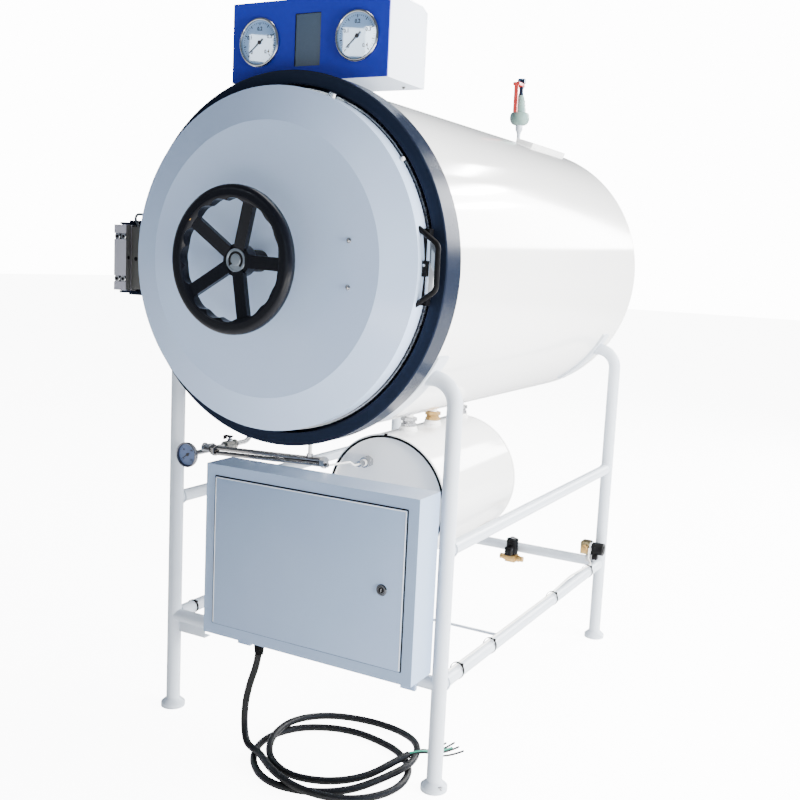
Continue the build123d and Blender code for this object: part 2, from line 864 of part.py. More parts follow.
save("drain_header", place(make_header()))
save("drain_hand_valve", place(make_hand_valve()))
save("solenoid_valves", Compound(children=[place(make_drain_valve()), place(make_steam_valve())]))
save("safety_valve", place(make_safety_valve() + make_lever_fork()))
save("safety_lever", place(make_safety_lever()))
save("top_cover", place(make_top_cover()))
save("power_cable", place(cord(cable_route, cable_r)))
save("cable_coil", place(make_coil()))
save("cable_cores", place(cord(cores_route, cores_r)))
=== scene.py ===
# %% [markdown]
# This lesson dresses a horizontal autoclave: a steam vessel on a bent-tube frame, with a handwheel door.
# The construction comes from a CAD model that stays untouched, and each cell below adds or finishes one
# piece over it. The unit is the metre, X runs to the right, Y to the back and Z up.

# %% Load the construction and keep its box
import bpy
import bmesh
import json
import math
from mathutils import Matrix, Vector

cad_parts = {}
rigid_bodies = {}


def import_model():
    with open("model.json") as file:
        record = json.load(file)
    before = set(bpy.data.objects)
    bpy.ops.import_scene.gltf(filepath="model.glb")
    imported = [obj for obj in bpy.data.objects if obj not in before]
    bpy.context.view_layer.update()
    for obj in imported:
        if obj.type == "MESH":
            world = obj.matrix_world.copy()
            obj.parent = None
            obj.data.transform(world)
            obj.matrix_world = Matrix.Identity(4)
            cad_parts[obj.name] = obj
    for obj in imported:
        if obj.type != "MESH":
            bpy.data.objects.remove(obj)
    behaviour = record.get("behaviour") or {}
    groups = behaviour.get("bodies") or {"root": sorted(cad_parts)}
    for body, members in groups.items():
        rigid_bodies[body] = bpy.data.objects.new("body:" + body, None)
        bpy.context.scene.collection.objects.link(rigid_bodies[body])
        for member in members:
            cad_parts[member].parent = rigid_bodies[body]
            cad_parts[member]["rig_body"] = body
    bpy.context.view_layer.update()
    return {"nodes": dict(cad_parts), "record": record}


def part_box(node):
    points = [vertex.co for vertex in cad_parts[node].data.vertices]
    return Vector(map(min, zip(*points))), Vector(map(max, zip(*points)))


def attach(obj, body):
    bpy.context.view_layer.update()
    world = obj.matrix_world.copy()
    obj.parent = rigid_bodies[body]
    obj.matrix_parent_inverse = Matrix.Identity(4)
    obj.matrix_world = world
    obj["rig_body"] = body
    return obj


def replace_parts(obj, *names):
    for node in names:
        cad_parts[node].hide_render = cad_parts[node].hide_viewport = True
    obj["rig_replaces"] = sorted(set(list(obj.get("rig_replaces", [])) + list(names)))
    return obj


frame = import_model()
nodes = frame["nodes"]

# %% [markdown]
# Every place in this scene is worked out from a few stations of the machine. The vessel's axis and the
# front face of its flange ring are read from the CAD ring, so that a changed model moves all pieces along.

# %% Stations of the machine
ring_low, ring_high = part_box("flange_ring")
axis_x = (ring_low.x + ring_high.x) / 2
axis_z = (ring_low.z + ring_high.z) / 2
face_y = ring_low.y
print("vessel axis at x", round(axis_x, 4), "z", round(axis_z, 4), "ring face at y", round(face_y, 4))


def at(x, y, z):
    """A point given from the ring's face and the vessel's centre plane, in metres."""
    return Vector((axis_x + x, face_y + y, z))


# %% [markdown]
# The camera stands in front and to the right, a little above the middle of the vessel, and looks down by
# eight degrees. It is tilted by almost three degrees, as a camera held by hand often is.

# %% Camera
camera_place = at(1.402, -1.966, 1.271)
camera_turn = math.radians(28.46)
camera_dip = math.radians(7.93)
camera_roll = math.radians(2.76)
camera_lens = 45.68

camera_data = bpy.data.cameras.new("studio_camera")
camera_data.sensor_width = 36
camera_data.lens = camera_lens
camera = bpy.data.objects.new("studio_camera", camera_data)
bpy.context.scene.collection.objects.link(camera)
turn = Matrix.Rotation(camera_turn, 4, "Z") @ Matrix.Rotation(math.pi / 2 - camera_dip, 4, "X")
camera.matrix_world = Matrix.Translation(camera_place) @ turn @ Matrix.Rotation(camera_roll, 4, "Z")
bpy.context.scene.camera = camera
print("camera lens", camera_lens, "mm at", [round(c, 3) for c in camera_place])

# %% [markdown]
# A product is shown on a pale floor under soft light. The floor gives off a little light of its own, which
# stands for the glow of a large white studio. Seen directly it glows more, so that its shadows stay faint.

# %% Floor
floor_side = 60.0
floor_colour = (0.90, 0.90, 0.90, 1)
floor_glow = 0.5
floor_seen_glow = 10.0


def deselect_all():
    """Leaves edit mode and deselects every object."""
    if bpy.context.mode != "OBJECT":
        bpy.ops.object.mode_set(mode="OBJECT")
    bpy.ops.object.select_all(action="DESELECT")


deselect_all()
bpy.ops.mesh.primitive_plane_add(size=floor_side, location=(0, 0, 0))
floor = bpy.context.object
floor.name = "studio_floor"
floor_paint = bpy.data.materials.new("studio_floor")
floor_paint.use_nodes = True
floor_shader = floor_paint.node_tree.nodes["Principled BSDF"]
floor_shader.inputs["Base Color"].default_value = floor_colour
floor_shader.inputs["Roughness"].default_value = 0.8
floor_shader.inputs["Emission Color"].default_value = (1, 1, 1, 1)
floor_sight = floor_paint.node_tree.nodes.new("ShaderNodeLightPath")
glow_range = floor_paint.node_tree.nodes.new("ShaderNodeMapRange")
glow_range.inputs["To Min"].default_value = floor_glow
glow_range.inputs["To Max"].default_value = floor_seen_glow
floor_paint.node_tree.links.new(floor_sight.outputs["Is Camera Ray"], glow_range.inputs["Value"])
floor_paint.node_tree.links.new(glow_range.outputs["Result"], floor_shader.inputs["Emission Strength"])
floor.data.materials.append(floor_paint)
print("floor glow:", floor_glow)

# %% [markdown]
# Dark paint looks dark only if there is something dark to reflect. So the room that lights the machine is
# dimmer than the white one behind it: a Light Path node tells the two apart.

# %% Room behind and around the machine
room_colour = (0.74, 0.85, 1.0, 1)
room_strength = 0.26
backdrop_strength = 14.0

world = bpy.data.worlds.new("studio_world")
bpy.context.scene.world = world
world.use_nodes = True
room = world.node_tree.nodes["Background"]
room.inputs["Color"].default_value = room_colour
room.inputs["Strength"].default_value = room_strength
backdrop = world.node_tree.nodes.new("ShaderNodeBackground")
backdrop.inputs["Color"].default_value = (1, 1, 1, 1)
backdrop.inputs["Strength"].default_value = backdrop_strength
seen = world.node_tree.nodes.new("ShaderNodeLightPath")
either = world.node_tree.nodes.new("ShaderNodeMixShader")
world.node_tree.links.new(seen.outputs["Is Camera Ray"], either.inputs["Fac"])
world.node_tree.links.new(room.outputs["Background"], either.inputs[1])
world.node_tree.links.new(backdrop.outputs["Background"], either.inputs[2])
world.node_tree.links.new(either.outputs["Shader"], world.node_tree.nodes["World Output"].inputs["Surface"])
print("room:", room_strength, "backdrop:", backdrop_strength)

# %% [markdown]
# Daylight comes from large windows on the right and behind, so the long side of the vessel is the brightest
# and the door stays in a cool shade. Three small lamps far behind show as bright streaks on the enamel. Glossy
# paint mirrors the blue sky through the side window, and dull paint takes its white light. So one lamp lights
# and isn't mirrored, and a bluer one of the same size is only mirrored. The low lamp isn't mirrored either.

# %% Lamps
def soft_box(name, place, target, size, power, colour=(1, 1, 1)):
    """A rectangular lamp that faces its target and isn't seen itself."""
    lamp = bpy.data.lights.new(name, "AREA")
    lamp.shape = "RECTANGLE"
    lamp.size, lamp.size_y = size
    lamp.energy = power
    lamp.color = colour
    holder = bpy.data.objects.new(name, lamp)
    holder.location = place
    aim = Vector(target) - Vector(place)
    holder.rotation_euler = aim.to_track_quat("-Z", "Y").to_euler()
    holder.visible_camera = False
    bpy.context.scene.collection.objects.link(holder)
    return holder


window_place, window_target = (5.0, 0.9, 2.6), (0, 0.3, 1.1)
window_size = (3.0, 2.6)
side_window = soft_box("side_window", window_place, window_target, window_size, 880, (1.0, 0.99, 0.97))
side_window.visible_glossy = False
window_mirror = soft_box("window_mirror", window_place, window_target, window_size, 560, (0.52, 0.70, 1.0))
window_mirror.visible_diffuse = False
soft_box("rear_window", (2.6, 5.0, 3.0), (0, 0.6, 1.2), (2.8, 2.0), 520)
soft_box("top_light", (0.6, 0.9, 5.2), (0, 0.3, 1.0), (3.0, 3.0), 210)
soft_box("left_sky", (-4.6, 0.2, 2.4), (0, 0, 1.1), (2.6, 2.2), 42, (0.66, 0.80, 1.0))
soft_box("front_sky", (0.0, -5.4, 1.6), (0, -0.7, 1.0), (3.4, 1.4), 16, (0.60, 0.78, 1.0))
door_target = (0, -0.7, 1.1)
low_window = soft_box("side_low", (4.6, -1.45, 0.7), door_target, (1.0, 1.6), 460, (1.0, 0.965, 0.91))
low_window.visible_glossy = False
soft_box("floor_bounce", (1.6, -3.6, 0.25), door_target, (2.4, 0.5), 28, (1.0, 0.97, 0.92))
streak_rows = (("high", 0.75, 3.72), ("middle", 1.40, 3.40), ("low", 1.80, 3.08))
streak_size, streak_power = (0.60, 0.12), 16
for label, x, z in streak_rows:
    soft_box("streak_" + label, at(x, 5.0, z), at(0.3, 0.3, 1.45), streak_size, streak_power)

# %% [markdown]
# The glass of the gauges mirrors three bright window panes that stand in front, on the left. A small lamp
# for each pane is switched off for diffuse light, so that it shows as a reflection and lights nothing.

# %% Window panes for the glass of the gauges
pane_rows = (("left", -2.748, 0.150), ("middle", -2.040, 0.135), ("right", -1.915, 0.075))
pane_y, pane_z, pane_height = -4.10, 2.585, 0.165
pane_target = (0.02, -0.58, 1.768)
pane_power, pane_colour = 2.6, (0.78, 0.90, 1.0)
for label, x, width in pane_rows:
    size = (width, pane_height)
    pane = soft_box("pane_" + label, (x, pane_y, pane_z), pane_target, size, pane_power, pane_colour)
    pane.visible_diffuse = False
print("panes:", len(pane_rows))

# %% [markdown]
# Paint is never quite even: it has a fine orange-peel ripple from spraying, and its gloss drifts a little
# over a large sheet. Both are noise in Object coordinates, so that the pattern has one scale on all pieces.
# They are used by every painted finish, so they are built once, as a shader node group.

# %% A node group for sprayed paint
def new_group(name, numbers, outputs):
    """A shader node group with number inputs and the named outputs."""
    group = bpy.data.node_groups.new(name, "ShaderNodeTree")
    for label, value in numbers.items():
        socket = group.interface.new_socket(label, in_out="INPUT", socket_type="NodeSocketFloat")
        socket.default_value = value
    for label, kind in outputs.items():
        group.interface.new_socket(label, in_out="OUTPUT", socket_type=kind)
    return group, group.nodes.new("NodeGroupInput"), group.nodes.new("NodeGroupOutput")


def add_noise(group, scale, detail, coordinates):
    """A noise texture on the given coordinates."""
    noise = group.nodes.new("ShaderNodeTexNoise")
    noise.inputs["Scale"].default_value = scale
    noise.inputs["Detail"].default_value = detail
    group.links.new(coordinates, noise.inputs["Vector"])
    return noise


def add_range(group, source, low, high):
    """Maps 0 to 1 onto the range between two values or sockets."""
    span = group.nodes.new("ShaderNodeMapRange")
    group.links.new(source, span.inputs["Value"])
    for label, value in (("To Min", low), ("To Max", high)):
        if isinstance(value, (int, float)):
            span.inputs[label].default_value = value
        else:
            group.links.new(value, span.inputs[label])
    return span.outputs["Result"]


paint_group, paint_in, paint_out = new_group(
    "sprayed_paint",
    {"Smooth": 0.2, "Dull": 0.3, "Drift Scale": 3.0, "Peel Scale": 260.0},
    {"Roughness": "NodeSocketFloat", "Shade": "NodeSocketFloat", "Ripple": "NodeSocketFloat"},
)
paint_place = paint_group.nodes.new("ShaderNodeTexCoord")
drift = add_noise(paint_group, 3.0, 3.0, paint_place.outputs["Object"])
paint_group.links.new(paint_in.outputs["Drift Scale"], drift.inputs["Scale"])
peel = add_noise(paint_group, 260.0, 1.0, paint_place.outputs["Object"])
paint_group.links.new(paint_in.outputs["Peel Scale"], peel.inputs["Scale"])
gloss = add_range(paint_group, drift.outputs["Fac"], paint_in.outputs["Smooth"], paint_in.outputs["Dull"])
paint_group.links.new(gloss, paint_out.inputs["Roughness"])
paint_group.links.new(drift.outputs["Fac"], paint_out.inputs["Shade"])
paint_group.links.new(peel.outputs["Fac"], paint_out.inputs["Ripple"])
print("group:", paint_group.name, "with", len(paint_group.nodes), "nodes")


# %% [markdown]
# Each painted finish is one call: two close shades, the two ends of its gloss, and how strong the ripple is.
# Where a paint mirrors less than usual, shine says so, and mirror_tint tints what it mirrors: a painted
# reflection.

# %% Painted finishes
def new_material(name):
    """An empty material with its tree and its Principled shader."""
    material = bpy.data.materials.new(name)
    material.use_nodes = True
    tree = material.node_tree
    return material, tree, tree.nodes["Principled BSDF"]


def add_tint(tree, mask, dark, light, target):
    """Blends two colours by a mask."""
    tint = tree.nodes.new("ShaderNodeMix")
    tint.data_type = "RGBA"
    tint.inputs["A"].default_value = (*dark, 1)
    tint.inputs["B"].default_value = (*light, 1)
    tree.links.new(mask, tint.inputs["Factor"])
    tree.links.new(tint.outputs["Result"], target)


def add_bump(tree, height, strength, distance, shader):
    """Turns a height into a bump on the shader."""
    bump = tree.nodes.new("ShaderNodeBump")
    bump.inputs["Strength"].default_value = strength
    bump.inputs["Distance"].default_value = distance
    tree.links.new(height, bump.inputs["Height"])
    tree.links.new(bump.outputs["Normal"], shader.inputs["Normal"])


def painted(name, dark, light, smooth, dull, coat=0.0, ripple=0.08, drift_scale=3.0, shine=0.5,
            mirror_tint=(1, 1, 1)):
    """Sprayed paint: two close shades, a drifting gloss and a fine ripple."""
    material, tree, shader = new_material(name)
    skin = tree.nodes.new("ShaderNodeGroup")
    skin.node_tree = paint_group
    skin.inputs["Smooth"].default_value = smooth
    skin.inputs["Dull"].default_value = dull
    skin.inputs["Drift Scale"].default_value = drift_scale
    add_tint(tree, skin.outputs["Shade"], dark, light, shader.inputs["Base Color"])
    tree.links.new(skin.outputs["Roughness"], shader.inputs["Roughness"])
    shader.inputs["Coat Weight"].default_value = coat
    shader.inputs["Coat Roughness"].default_value = 0.08
    shader.inputs["Specular IOR Level"].default_value = shine
    shader.inputs["Specular Tint"].default_value = (*mirror_tint, 1)
    add_bump(tree, skin.outputs["Ripple"], ripple, 0.001, shader)
    return material


white_enamel = painted("white_enamel", (0.86, 0.865, 0.87), (0.91, 0.91, 0.905), 0.09, 0.15, coat=0.5)
# The frame, control box, vessel door and electrical box take darker, bluer copies of the white paint: painted
# cool shade for the sides that the windows don't light.
frame_white = painted("frame_white", (0.50, 0.555, 0.63), (0.58, 0.625, 0.69), 0.24, 0.38, ripple=0.12)
control_white = painted("control_white", (0.42, 0.485, 0.58), (0.48, 0.54, 0.63), 0.26, 0.36, ripple=0.12)
door_grey = painted("door_grey", (0.355, 0.465, 0.675), (0.425, 0.53, 0.71), 0.20, 0.30, coat=0.2)
cabinet_grey = painted("cabinet_grey", (0.215, 0.300, 0.455), (0.265, 0.350, 0.495), 0.28, 0.40, ripple=0.22)
# The ring's mirror tint is blue: a painted reflection of the blue sky on its dark paint.
ring_navy = painted("ring_navy", (0.0065, 0.0095, 0.0185), (0.0090, 0.0130, 0.025), 0.22, 0.32,
                    shine=0.06, mirror_tint=(0.46, 0.62, 1.0))
panel_blue = painted("panel_blue", (0.015, 0.022, 0.29), (0.021, 0.032, 0.37), 0.30, 0.40, shine=0.10)
hinge_grey = painted("hinge_grey", (0.30, 0.30, 0.36), (0.37, 0.37, 0.42), 0.34, 0.46, ripple=0.1)
valve_green = painted("valve_green", (0.05, 0.13, 0.125), (0.27, 0.37, 0.33), 0.30, 0.5, drift_scale=40.0)
print("materials so far:", len(bpy.data.materials))

# %% [markdown]
# Turned, drawn or brushed metal shows fine lines. A noise that is stretched along one axis by a Mapping
# node gives them, and it drives the roughness more than the height, as real scratches do.

# %% Metal, plastic and rubber
def metal(name, colour, rough, spread=0.08, stretch=(1, 1, 1), grain=320.0, bump=0.05):
    """Metal with a grain that is stretched by the given factors."""
    material, tree, shader = new_material(name)
    place = tree.nodes.new("ShaderNodeTexCoord")
    lines = tree.nodes.new("ShaderNodeMapping")
    lines.inputs["Scale"].default_value = stretch
    tree.links.new(place.outputs["Object"], lines.inputs["Vector"])
    noise = add_noise(tree, grain, 2.0, lines.outputs["Vector"])
    gloss = add_range(tree, noise.outputs["Fac"], rough - spread, rough + spread)
    tree.links.new(gloss, shader.inputs["Roughness"])
    add_tint(tree, noise.outputs["Fac"], [0.86 * c for c in colour], colour, shader.inputs["Base Color"])
    shader.inputs["Metallic"].default_value = 1.0
    add_bump(tree, noise.outputs["Fac"], bump, 0.0004, shader)
    return material


def moulded(name, colour, rough, bump=0.1, grain=500.0, coat=0.0, shine=0.5):
    """Plastic or rubber with the fine texture of its mould."""
    material, tree, shader = new_material(name)
    place = tree.nodes.new("ShaderNodeTexCoord")
    noise = add_noise(tree, grain, 2.0, place.outputs["Object"])
    gloss = add_range(tree, noise.outputs["Fac"], rough - 0.06, rough + 0.06)
    tree.links.new(gloss, shader.inputs["Roughness"])
    add_tint(tree, noise.outputs["Fac"], [0.8 * c for c in colour], colour, shader.inputs["Base Color"])
    shader.inputs["Coat Weight"].default_value = coat
    shader.inputs["Specular IOR Level"].default_value = shine
    add_bump(tree, noise.outputs["Fac"], bump, 0.0005, shader)
    return material


stainless = metal("stainless", (0.62, 0.62, 0.61), 0.27, stretch=(1, 1, 14), grain=120.0)
bright_steel = metal("bright_steel", (0.46, 0.46, 0.47), 0.24)
polished = metal("polished_chrome", (0.60, 0.61, 0.63), 0.09, spread=0.03)
cap_silver = metal("cap_silver", (0.36, 0.41, 0.46), 0.34)
brass_metal = metal("brass_metal", (0.58, 0.36, 0.13), 0.30)
worn_brass = metal("worn_brass", (0.34, 0.27, 0.14), 0.36)
plated_brass = metal("plated_brass", (0.27, 0.26, 0.235), 0.28)
blued_steel = metal("blued_steel", (0.06, 0.09, 0.14), 0.28)
drawn_steel = metal("drawn_steel", (0.33, 0.31, 0.30), 0.13, spread=0.04)
lock_chrome = metal("lock_chrome", (0.10, 0.105, 0.115), 0.10, spread=0.03)
gloss_black = moulded("gloss_black", (0.003, 0.0035, 0.006), 0.22, bump=0.03, shine=0.22)
matt_black = moulded("matt_black", (0.0035, 0.0035, 0.004), 0.42, shine=0.10)
cable_rubber = moulded("cable_rubber", (0.0035, 0.0035, 0.004), 0.46, bump=0.2, shine=0.25)
dark_steel = moulded("dark_steel", (0.080, 0.079, 0.076), 0.46, shine=0.35)
gasket_red = moulded("gasket_red", (0.42, 0.10, 0.06), 0.55)
lever_red = moulded("lever_red", (0.52, 0.035, 0.03), 0.34, bump=0.05)
window_dark = moulded("window_dark", (0.040, 0.066, 0.112), 0.20, bump=0.01, shine=0.25)
core_green = moulded("core_green", (0.02, 0.22, 0.15), 0.40)
fold_white = moulded("fold_white", (0.86, 0.88, 0.90), 0.16, bump=0.02, coat=0.6)
insulator_white = moulded("insulator_white", (0.78, 0.78, 0.76), 0.30, bump=0.02)

finish_of = {
    "navy_paint": ring_navy, "white_paint": white_enamel, "stainless": stainless,
    "bright_steel": bright_steel, "blue_paint": panel_blue, "dark_plastic": window_dark,
    "gauge_steel": polished, "box_paint": cabinet_grey, "black_plastic": matt_black, "brass": brass_metal,
    "valve_paint": valve_green, "black_rubber": cable_rubber, "door_paint": door_grey,
    "gasket_rubber": gasket_red, "gloss_black": gloss_black, "cap_metal": cap_silver,
    "red_plastic": lever_red,
}


def dress(node, material):
    """Gives a CAD node one finish, with no change to its shape."""
    mesh = nodes[node].data
    mesh.materials.clear()
    mesh.materials.append(material)


frame_parts = ("leg_", "upper_rail_", "lower_rail_", "cross_rail_", "saddle_")
for subpart in frame["record"]["subparts"]:
    node = subpart["node"]
    dress(node, frame_white if node.startswith(frame_parts) else finish_of[subpart["material_slot"]])
dress("control_box", control_white)
print("finishes on CAD nodes:", len(finish_of))

# %% [markdown]
# The power cable drops from the electrical box to the floor and lies there in almost three loose turns. A
# rubber cable bends evenly, so its line is one NURBS spline: the control points pull at the curve, and no
# corner shows. Where a turn lies over another, the points of the upper one are a diameter higher, and they
# stay high for a little on both sides, because a stiff cable passes over itself in a long low hump.

# %% Points of the power cable
cable_diameter, cable_length = 0.018, 3.15
cable_drop = [
    (-0.060, 0.045, 0.274), (-0.065, 0.045, 0.232), (-0.084, 0.044, 0.180), (-0.096, 0.041, 0.122),
    (-0.091, 0.032, 0.068), (-0.070, 0.014, 0.034), (-0.044, 0.004, 0.028)]
coil_x, coil_y = 0.140, 0.125
coil_turns = [
    (220, 0.201, 0.028), (250, 0.203, 0.028), (280, 0.220, 0.022), (310, 0.226, 0.011), (340, 0.221, 0.009),
    (370, 0.197, 0.009), (400, 0.160, 0.009), (430, 0.135, 0.009), (460, 0.138, 0.009), (490, 0.157, 0.009),
    (520, 0.191, 0.009), (550, 0.217, 0.009), (580, 0.223, 0.009), (610, 0.225, 0.009), (640, 0.199, 0.009),
    (670, 0.178, 0.010), (700, 0.174, 0.022), (730, 0.198, 0.028), (760, 0.211, 0.027), (790, 0.213, 0.014),
    (820, 0.218, 0.009), (850, 0.219, 0.016), (880, 0.202, 0.028), (910, 0.187, 0.028), (940, 0.181, 0.018),
    (970, 0.164, 0.010), (1000, 0.140, 0.009), (1030, 0.127, 0.009), (1060, 0.131, 0.014),
    (1085, 0.150, 0.027), (1102, 0.178, 0.030)]


def coil_point(angle, radius, height):
    """A point of the coil, from its angle in degrees and its distance from the middle."""
    turned = math.radians(angle)
    return coil_x + radius * math.cos(turned), coil_y + radius * math.sin(turned), height


cable_points = cable_drop + [coil_point(*station) for station in coil_turns]
print("cable points:", len(cable_points))

# %% [markdown]
# A curve object with a round bevel is the quickest way to a cable. Blender sets a new spline to straight
# runs, so its order and its end points are set after the points are in.

# %% The power cable
def spline_cable(name, points, diameter, material):
    """A round cable along one NURBS spline."""
    line = bpy.data.curves.new(name, "CURVE")
    line.dimensions = "3D"
    spline = line.splines.new("NURBS")
    spline.points.add(len(points) - 1)
    for control, point in zip(spline.points, points):
        control.co = (*at(*point), 1)
    spline.order_u = 3
    spline.use_endpoint_u = True
    spline.resolution_u = 8
    line.bevel_depth = diameter / 2
    line.bevel_resolution = 4
    line.use_fill_caps = True
    cable = bpy.data.objects.new(name, line)
    bpy.context.scene.collection.objects.link(cable)
    cable.data.materials.append(material)
    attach(cable, "autoclave")
    return cable


power_cable = spline_cable("power_cable_line", cable_points, cable_diameter, cable_rubber)
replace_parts(power_cable, "power_cable", "cable_coil")
print("power cable with", len(coil_turns), "points in its turns")

# %% [markdown]
# The cable has no plug: its jacket is cut back and five cores come out of it. One is green, and the others
# are black. They fan out over the outer turn and end on the floor beside the frame's leg.

# %% Bare cores at the end of the cable
core_diameter = 0.0052
core_rows = [
    ("a", [(0.330, 0.216, 0.0375), (0.345, 0.246, 0.024), (0.356, 0.298, 0.004), (0.372, 0.352, 0.003)]),
    ("b", [(0.333, 0.210, 0.0385), (0.352, 0.238, 0.026), (0.372, 0.284, 0.004), (0.392, 0.338, 0.003)]),
    ("c", [(0.327, 0.219, 0.0385), (0.338, 0.252, 0.024), (0.343, 0.304, 0.004), (0.352, 0.366, 0.003)]),
    ("d", [(0.324, 0.222, 0.0375), (0.331, 0.256, 0.022), (0.329, 0.300, 0.004), (0.334, 0.352, 0.003)]),
    ("green", [(0.331, 0.213, 0.0400), (0.341, 0.240, 0.030), (0.350, 0.292, 0.010), (0.363, 0.330, 0.0075)])]
core_start = {
    "a": (0.0010, 0, -0.0040), "b": (0.0035, -0.0030, 0.0010), "c": (-0.0030, 0.0030, 0.0010),
    "d": (-0.0035, 0.0015, -0.0035), "green": (0, 0, 0.0045)}
jacket_end = coil_point(*coil_turns[-1])
cores = []
for label, run in core_rows:
    first = tuple(e + s for e, s in zip(jacket_end, core_start[label]))
    finish = core_green if label == "green" else cable_rubber
    core = spline_cable("cable_core_" + label, [first] + run, core_diameter, finish)
    cores.append(core)
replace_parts(cores[0], "cable_cores")

print("cores:", len(cores))

# %% [markdown]
# Most fittings of a steam vessel come off a lathe. A lathe shape is made here as a turner would: a disc is
# started at one end of the axis, pushed along by one extrusion after another, and widened or narrowed after
# each push. A ring is the same with its last profile point joined to the first.

# %% Turned pieces
def start_ring(name, radius, centre, direction, sides, fill):
    """A circle across the given direction, in edit mode and selected."""
    deselect_all()
    turn = Vector(direction).to_track_quat("Z", "Y").to_euler()
    bpy.ops.mesh.primitive_circle_add(
        vertices=sides, radius=radius, fill_type=fill, location=centre, rotation=turn)
    piece = bpy.context.object
    piece.name = name
    bpy.ops.object.transform_apply(location=True, rotation=True, scale=True)
    bpy.ops.object.mode_set(mode="EDIT")
    bpy.ops.mesh.select_all(action="SELECT")
    return piece


def close_mesh():
    """Merges doubles and turns the faces outwards."""
    bpy.ops.mesh.select_all(action="SELECT")
    bpy.ops.mesh.remove_doubles(threshold=0.00001)
    bpy.ops.mesh.normals_make_consistent(inside=False)
    bpy.ops.object.mode_set(mode="OBJECT")


def turned_piece(name, centre, direction, profile, sides=48, ring=False):
    """A lathe shape: (radius, station) pairs along a direction from the centre."""
    along = Vector(direction).normalized()
    radius, station = profile[0]
    fill = "NOTHING" if ring else "NGON"
    piece = start_ring(name, radius, centre + along * station, along, sides, fill)
    for next_radius, next_station in profile[1:] + (profile[:1] if ring else []):
        move = along * (next_station - station)
        bpy.ops.mesh.extrude_region_move(TRANSFORM_OT_translate={"value": move})
        if next_radius == 0:
            bpy.ops.mesh.merge(type="CENTER")
            break
        factor = next_radius / radius
        if factor != 1:
            middle = centre + along * next_station
            bpy.ops.transform.resize(value=(factor, factor, factor), center_override=middle)
        radius, station = next_radius, next_station
    close_mesh()
    return piece


# %% [markdown]
# A finished piece has its place in its mesh and its object at the origin, as the CAD nodes have. Smoothing
# by angle keeps the edges of a turned step sharp and its round side soft. Each piece then takes its finish
# and rides on one body of the machine.

# %% Finish a piece
slot_of = {material.name: slot for slot, material in finish_of.items()}
slot_of.update({
    "frame_white": "white_paint", "control_white": "white_paint", "core_green": "black_rubber",
    "insulator_white": "white_paint", "worn_brass": "brass", "plated_brass": "brass",
    "blued_steel": "bright_steel", "dark_steel": "bright_steel", "drawn_steel": "bright_steel",
    "lock_chrome": "bright_steel", "fold_white": "box_paint"})


def finish_piece(piece, material, body="autoclave", replaces=(), angle=32):
    """Applies the piece's place, smooths it, and gives it a finish and a body."""
    deselect_all()
    piece.select_set(True)
    bpy.context.view_layer.objects.active = piece
    bpy.ops.object.transform_apply(location=True, rotation=True, scale=True)
    bpy.ops.object.shade_smooth_by_angle(angle=math.radians(angle))
    piece.data.materials.clear()
    piece.data.materials.append(material)
    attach(piece, body)
    if replaces:
        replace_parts(piece, *replaces)
    return piece


print("finishes with a slot:", len(slot_of))

# %% [markdown]
# What repeats on the machine is made once and copied. A copy gets a mesh of its own, so that its place can be
# moved inside the mesh while its object stays at the origin, and it may take another finish. A copy stands
# for no CAD node unless one is named.

# %% Copies with their own mesh
def turn_about(piece, centre, angle, axis="Y"):
    """Turns a piece's mesh about an axis through a point; the angle is in degrees."""
    there = Matrix.Translation(centre)
    piece.data.transform(there @ Matrix.Rotation(math.radians(angle), 4, axis) @ there.inverted())


def copied(piece, name, step=(0, 0, 0), about=None, degrees=0.0, axis="Z", material=None, replaces=()):
    """A copy of a finished piece, turned about a point and then moved by a step."""
    twin = piece.copy()
    twin.data = piece.data.copy()
    twin.name = name
    bpy.context.scene.collection.objects.link(twin)
    if about is not None:
        turn_about(twin, about, degrees, axis)
    twin.data.transform(Matrix.Translation(Vector(step)))
    if material is not None:
        twin.data.materials[0] = material
    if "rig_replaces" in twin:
        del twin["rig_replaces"]
    if replaces:
        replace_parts(twin, *replaces)
    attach(twin, piece["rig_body"])
    return twin


print("helpers: turn_about, copied")

# %% [markdown]
# Tube is bent over a former, so each bend is an arc that meets both straight runs without a corner. The
# tube's end ring is pushed along a run by an extrusion and round a bend by a spin.

# %% Bent pipes
def bent_pipe(name, points, bend, radius, sides=20, steps=6):
    """A pipe along straight runs with round bends between them."""
    points = [Vector(p) for p in points]
    runs = [(b - a).normalized() for a, b in zip(points, points[1:])]
    piece = start_ring(name, radius, points[0], runs[0], sides, "NGON")
    place = points[0]
    for corner, before, after in zip(points[1:-1], runs, runs[1:]):
        turn = before.angle(after)
        back = bend * math.tan(turn / 2)
        start = corner - before * back
        bpy.ops.mesh.extrude_region_move(TRANSFORM_OT_translate={"value": start - place})
        axis = before.cross(after).normalized()
        middle = start + axis.cross(before) * bend
        bpy.ops.mesh.spin(steps=steps, angle=-turn, center=middle, axis=axis)
        place = corner + after * back
    bpy.ops.mesh.extrude_region_move(TRANSFORM_OT_translate={"value": points[-1] - place})
    close_mesh()
    return piece


# %% [markdown]
# Folded boxes, brackets and moulded housings have no knife edges. A cube is added at its size and place, and
# the bevel operator rounds all its edges at once.

# %% Blocks with soft edges
def soft_block(name, low, high, edge=0.001, segments=2):
    """A block between two corners of the vessel frame, with rounded edges."""
    low, high = at(*low), at(*high)
    deselect_all()
    bpy.ops.mesh.primitive_cube_add(size=1, location=(low + high) / 2, scale=high - low)
    piece = bpy.context.object
    piece.name = name
    bpy.ops.object.transform_apply(location=True, rotation=True, scale=True)
    bpy.ops.object.mode_set(mode="EDIT")
    bpy.ops.mesh.select_all(action="SELECT")
    bpy.ops.mesh.bevel(offset=edge, segments=segments, affect="EDGES")
    close_mesh()
    return piece


print("helper: soft_block")

# %% [markdown]
# Directions are used again and again: front is towards the reader of the gauges, up is up. Pieces on the
# machine's front are turned along the front direction. The door and its wheel have one axis of their own,
# and a ray points away from it at an angle, counted from the right and seen from the front.

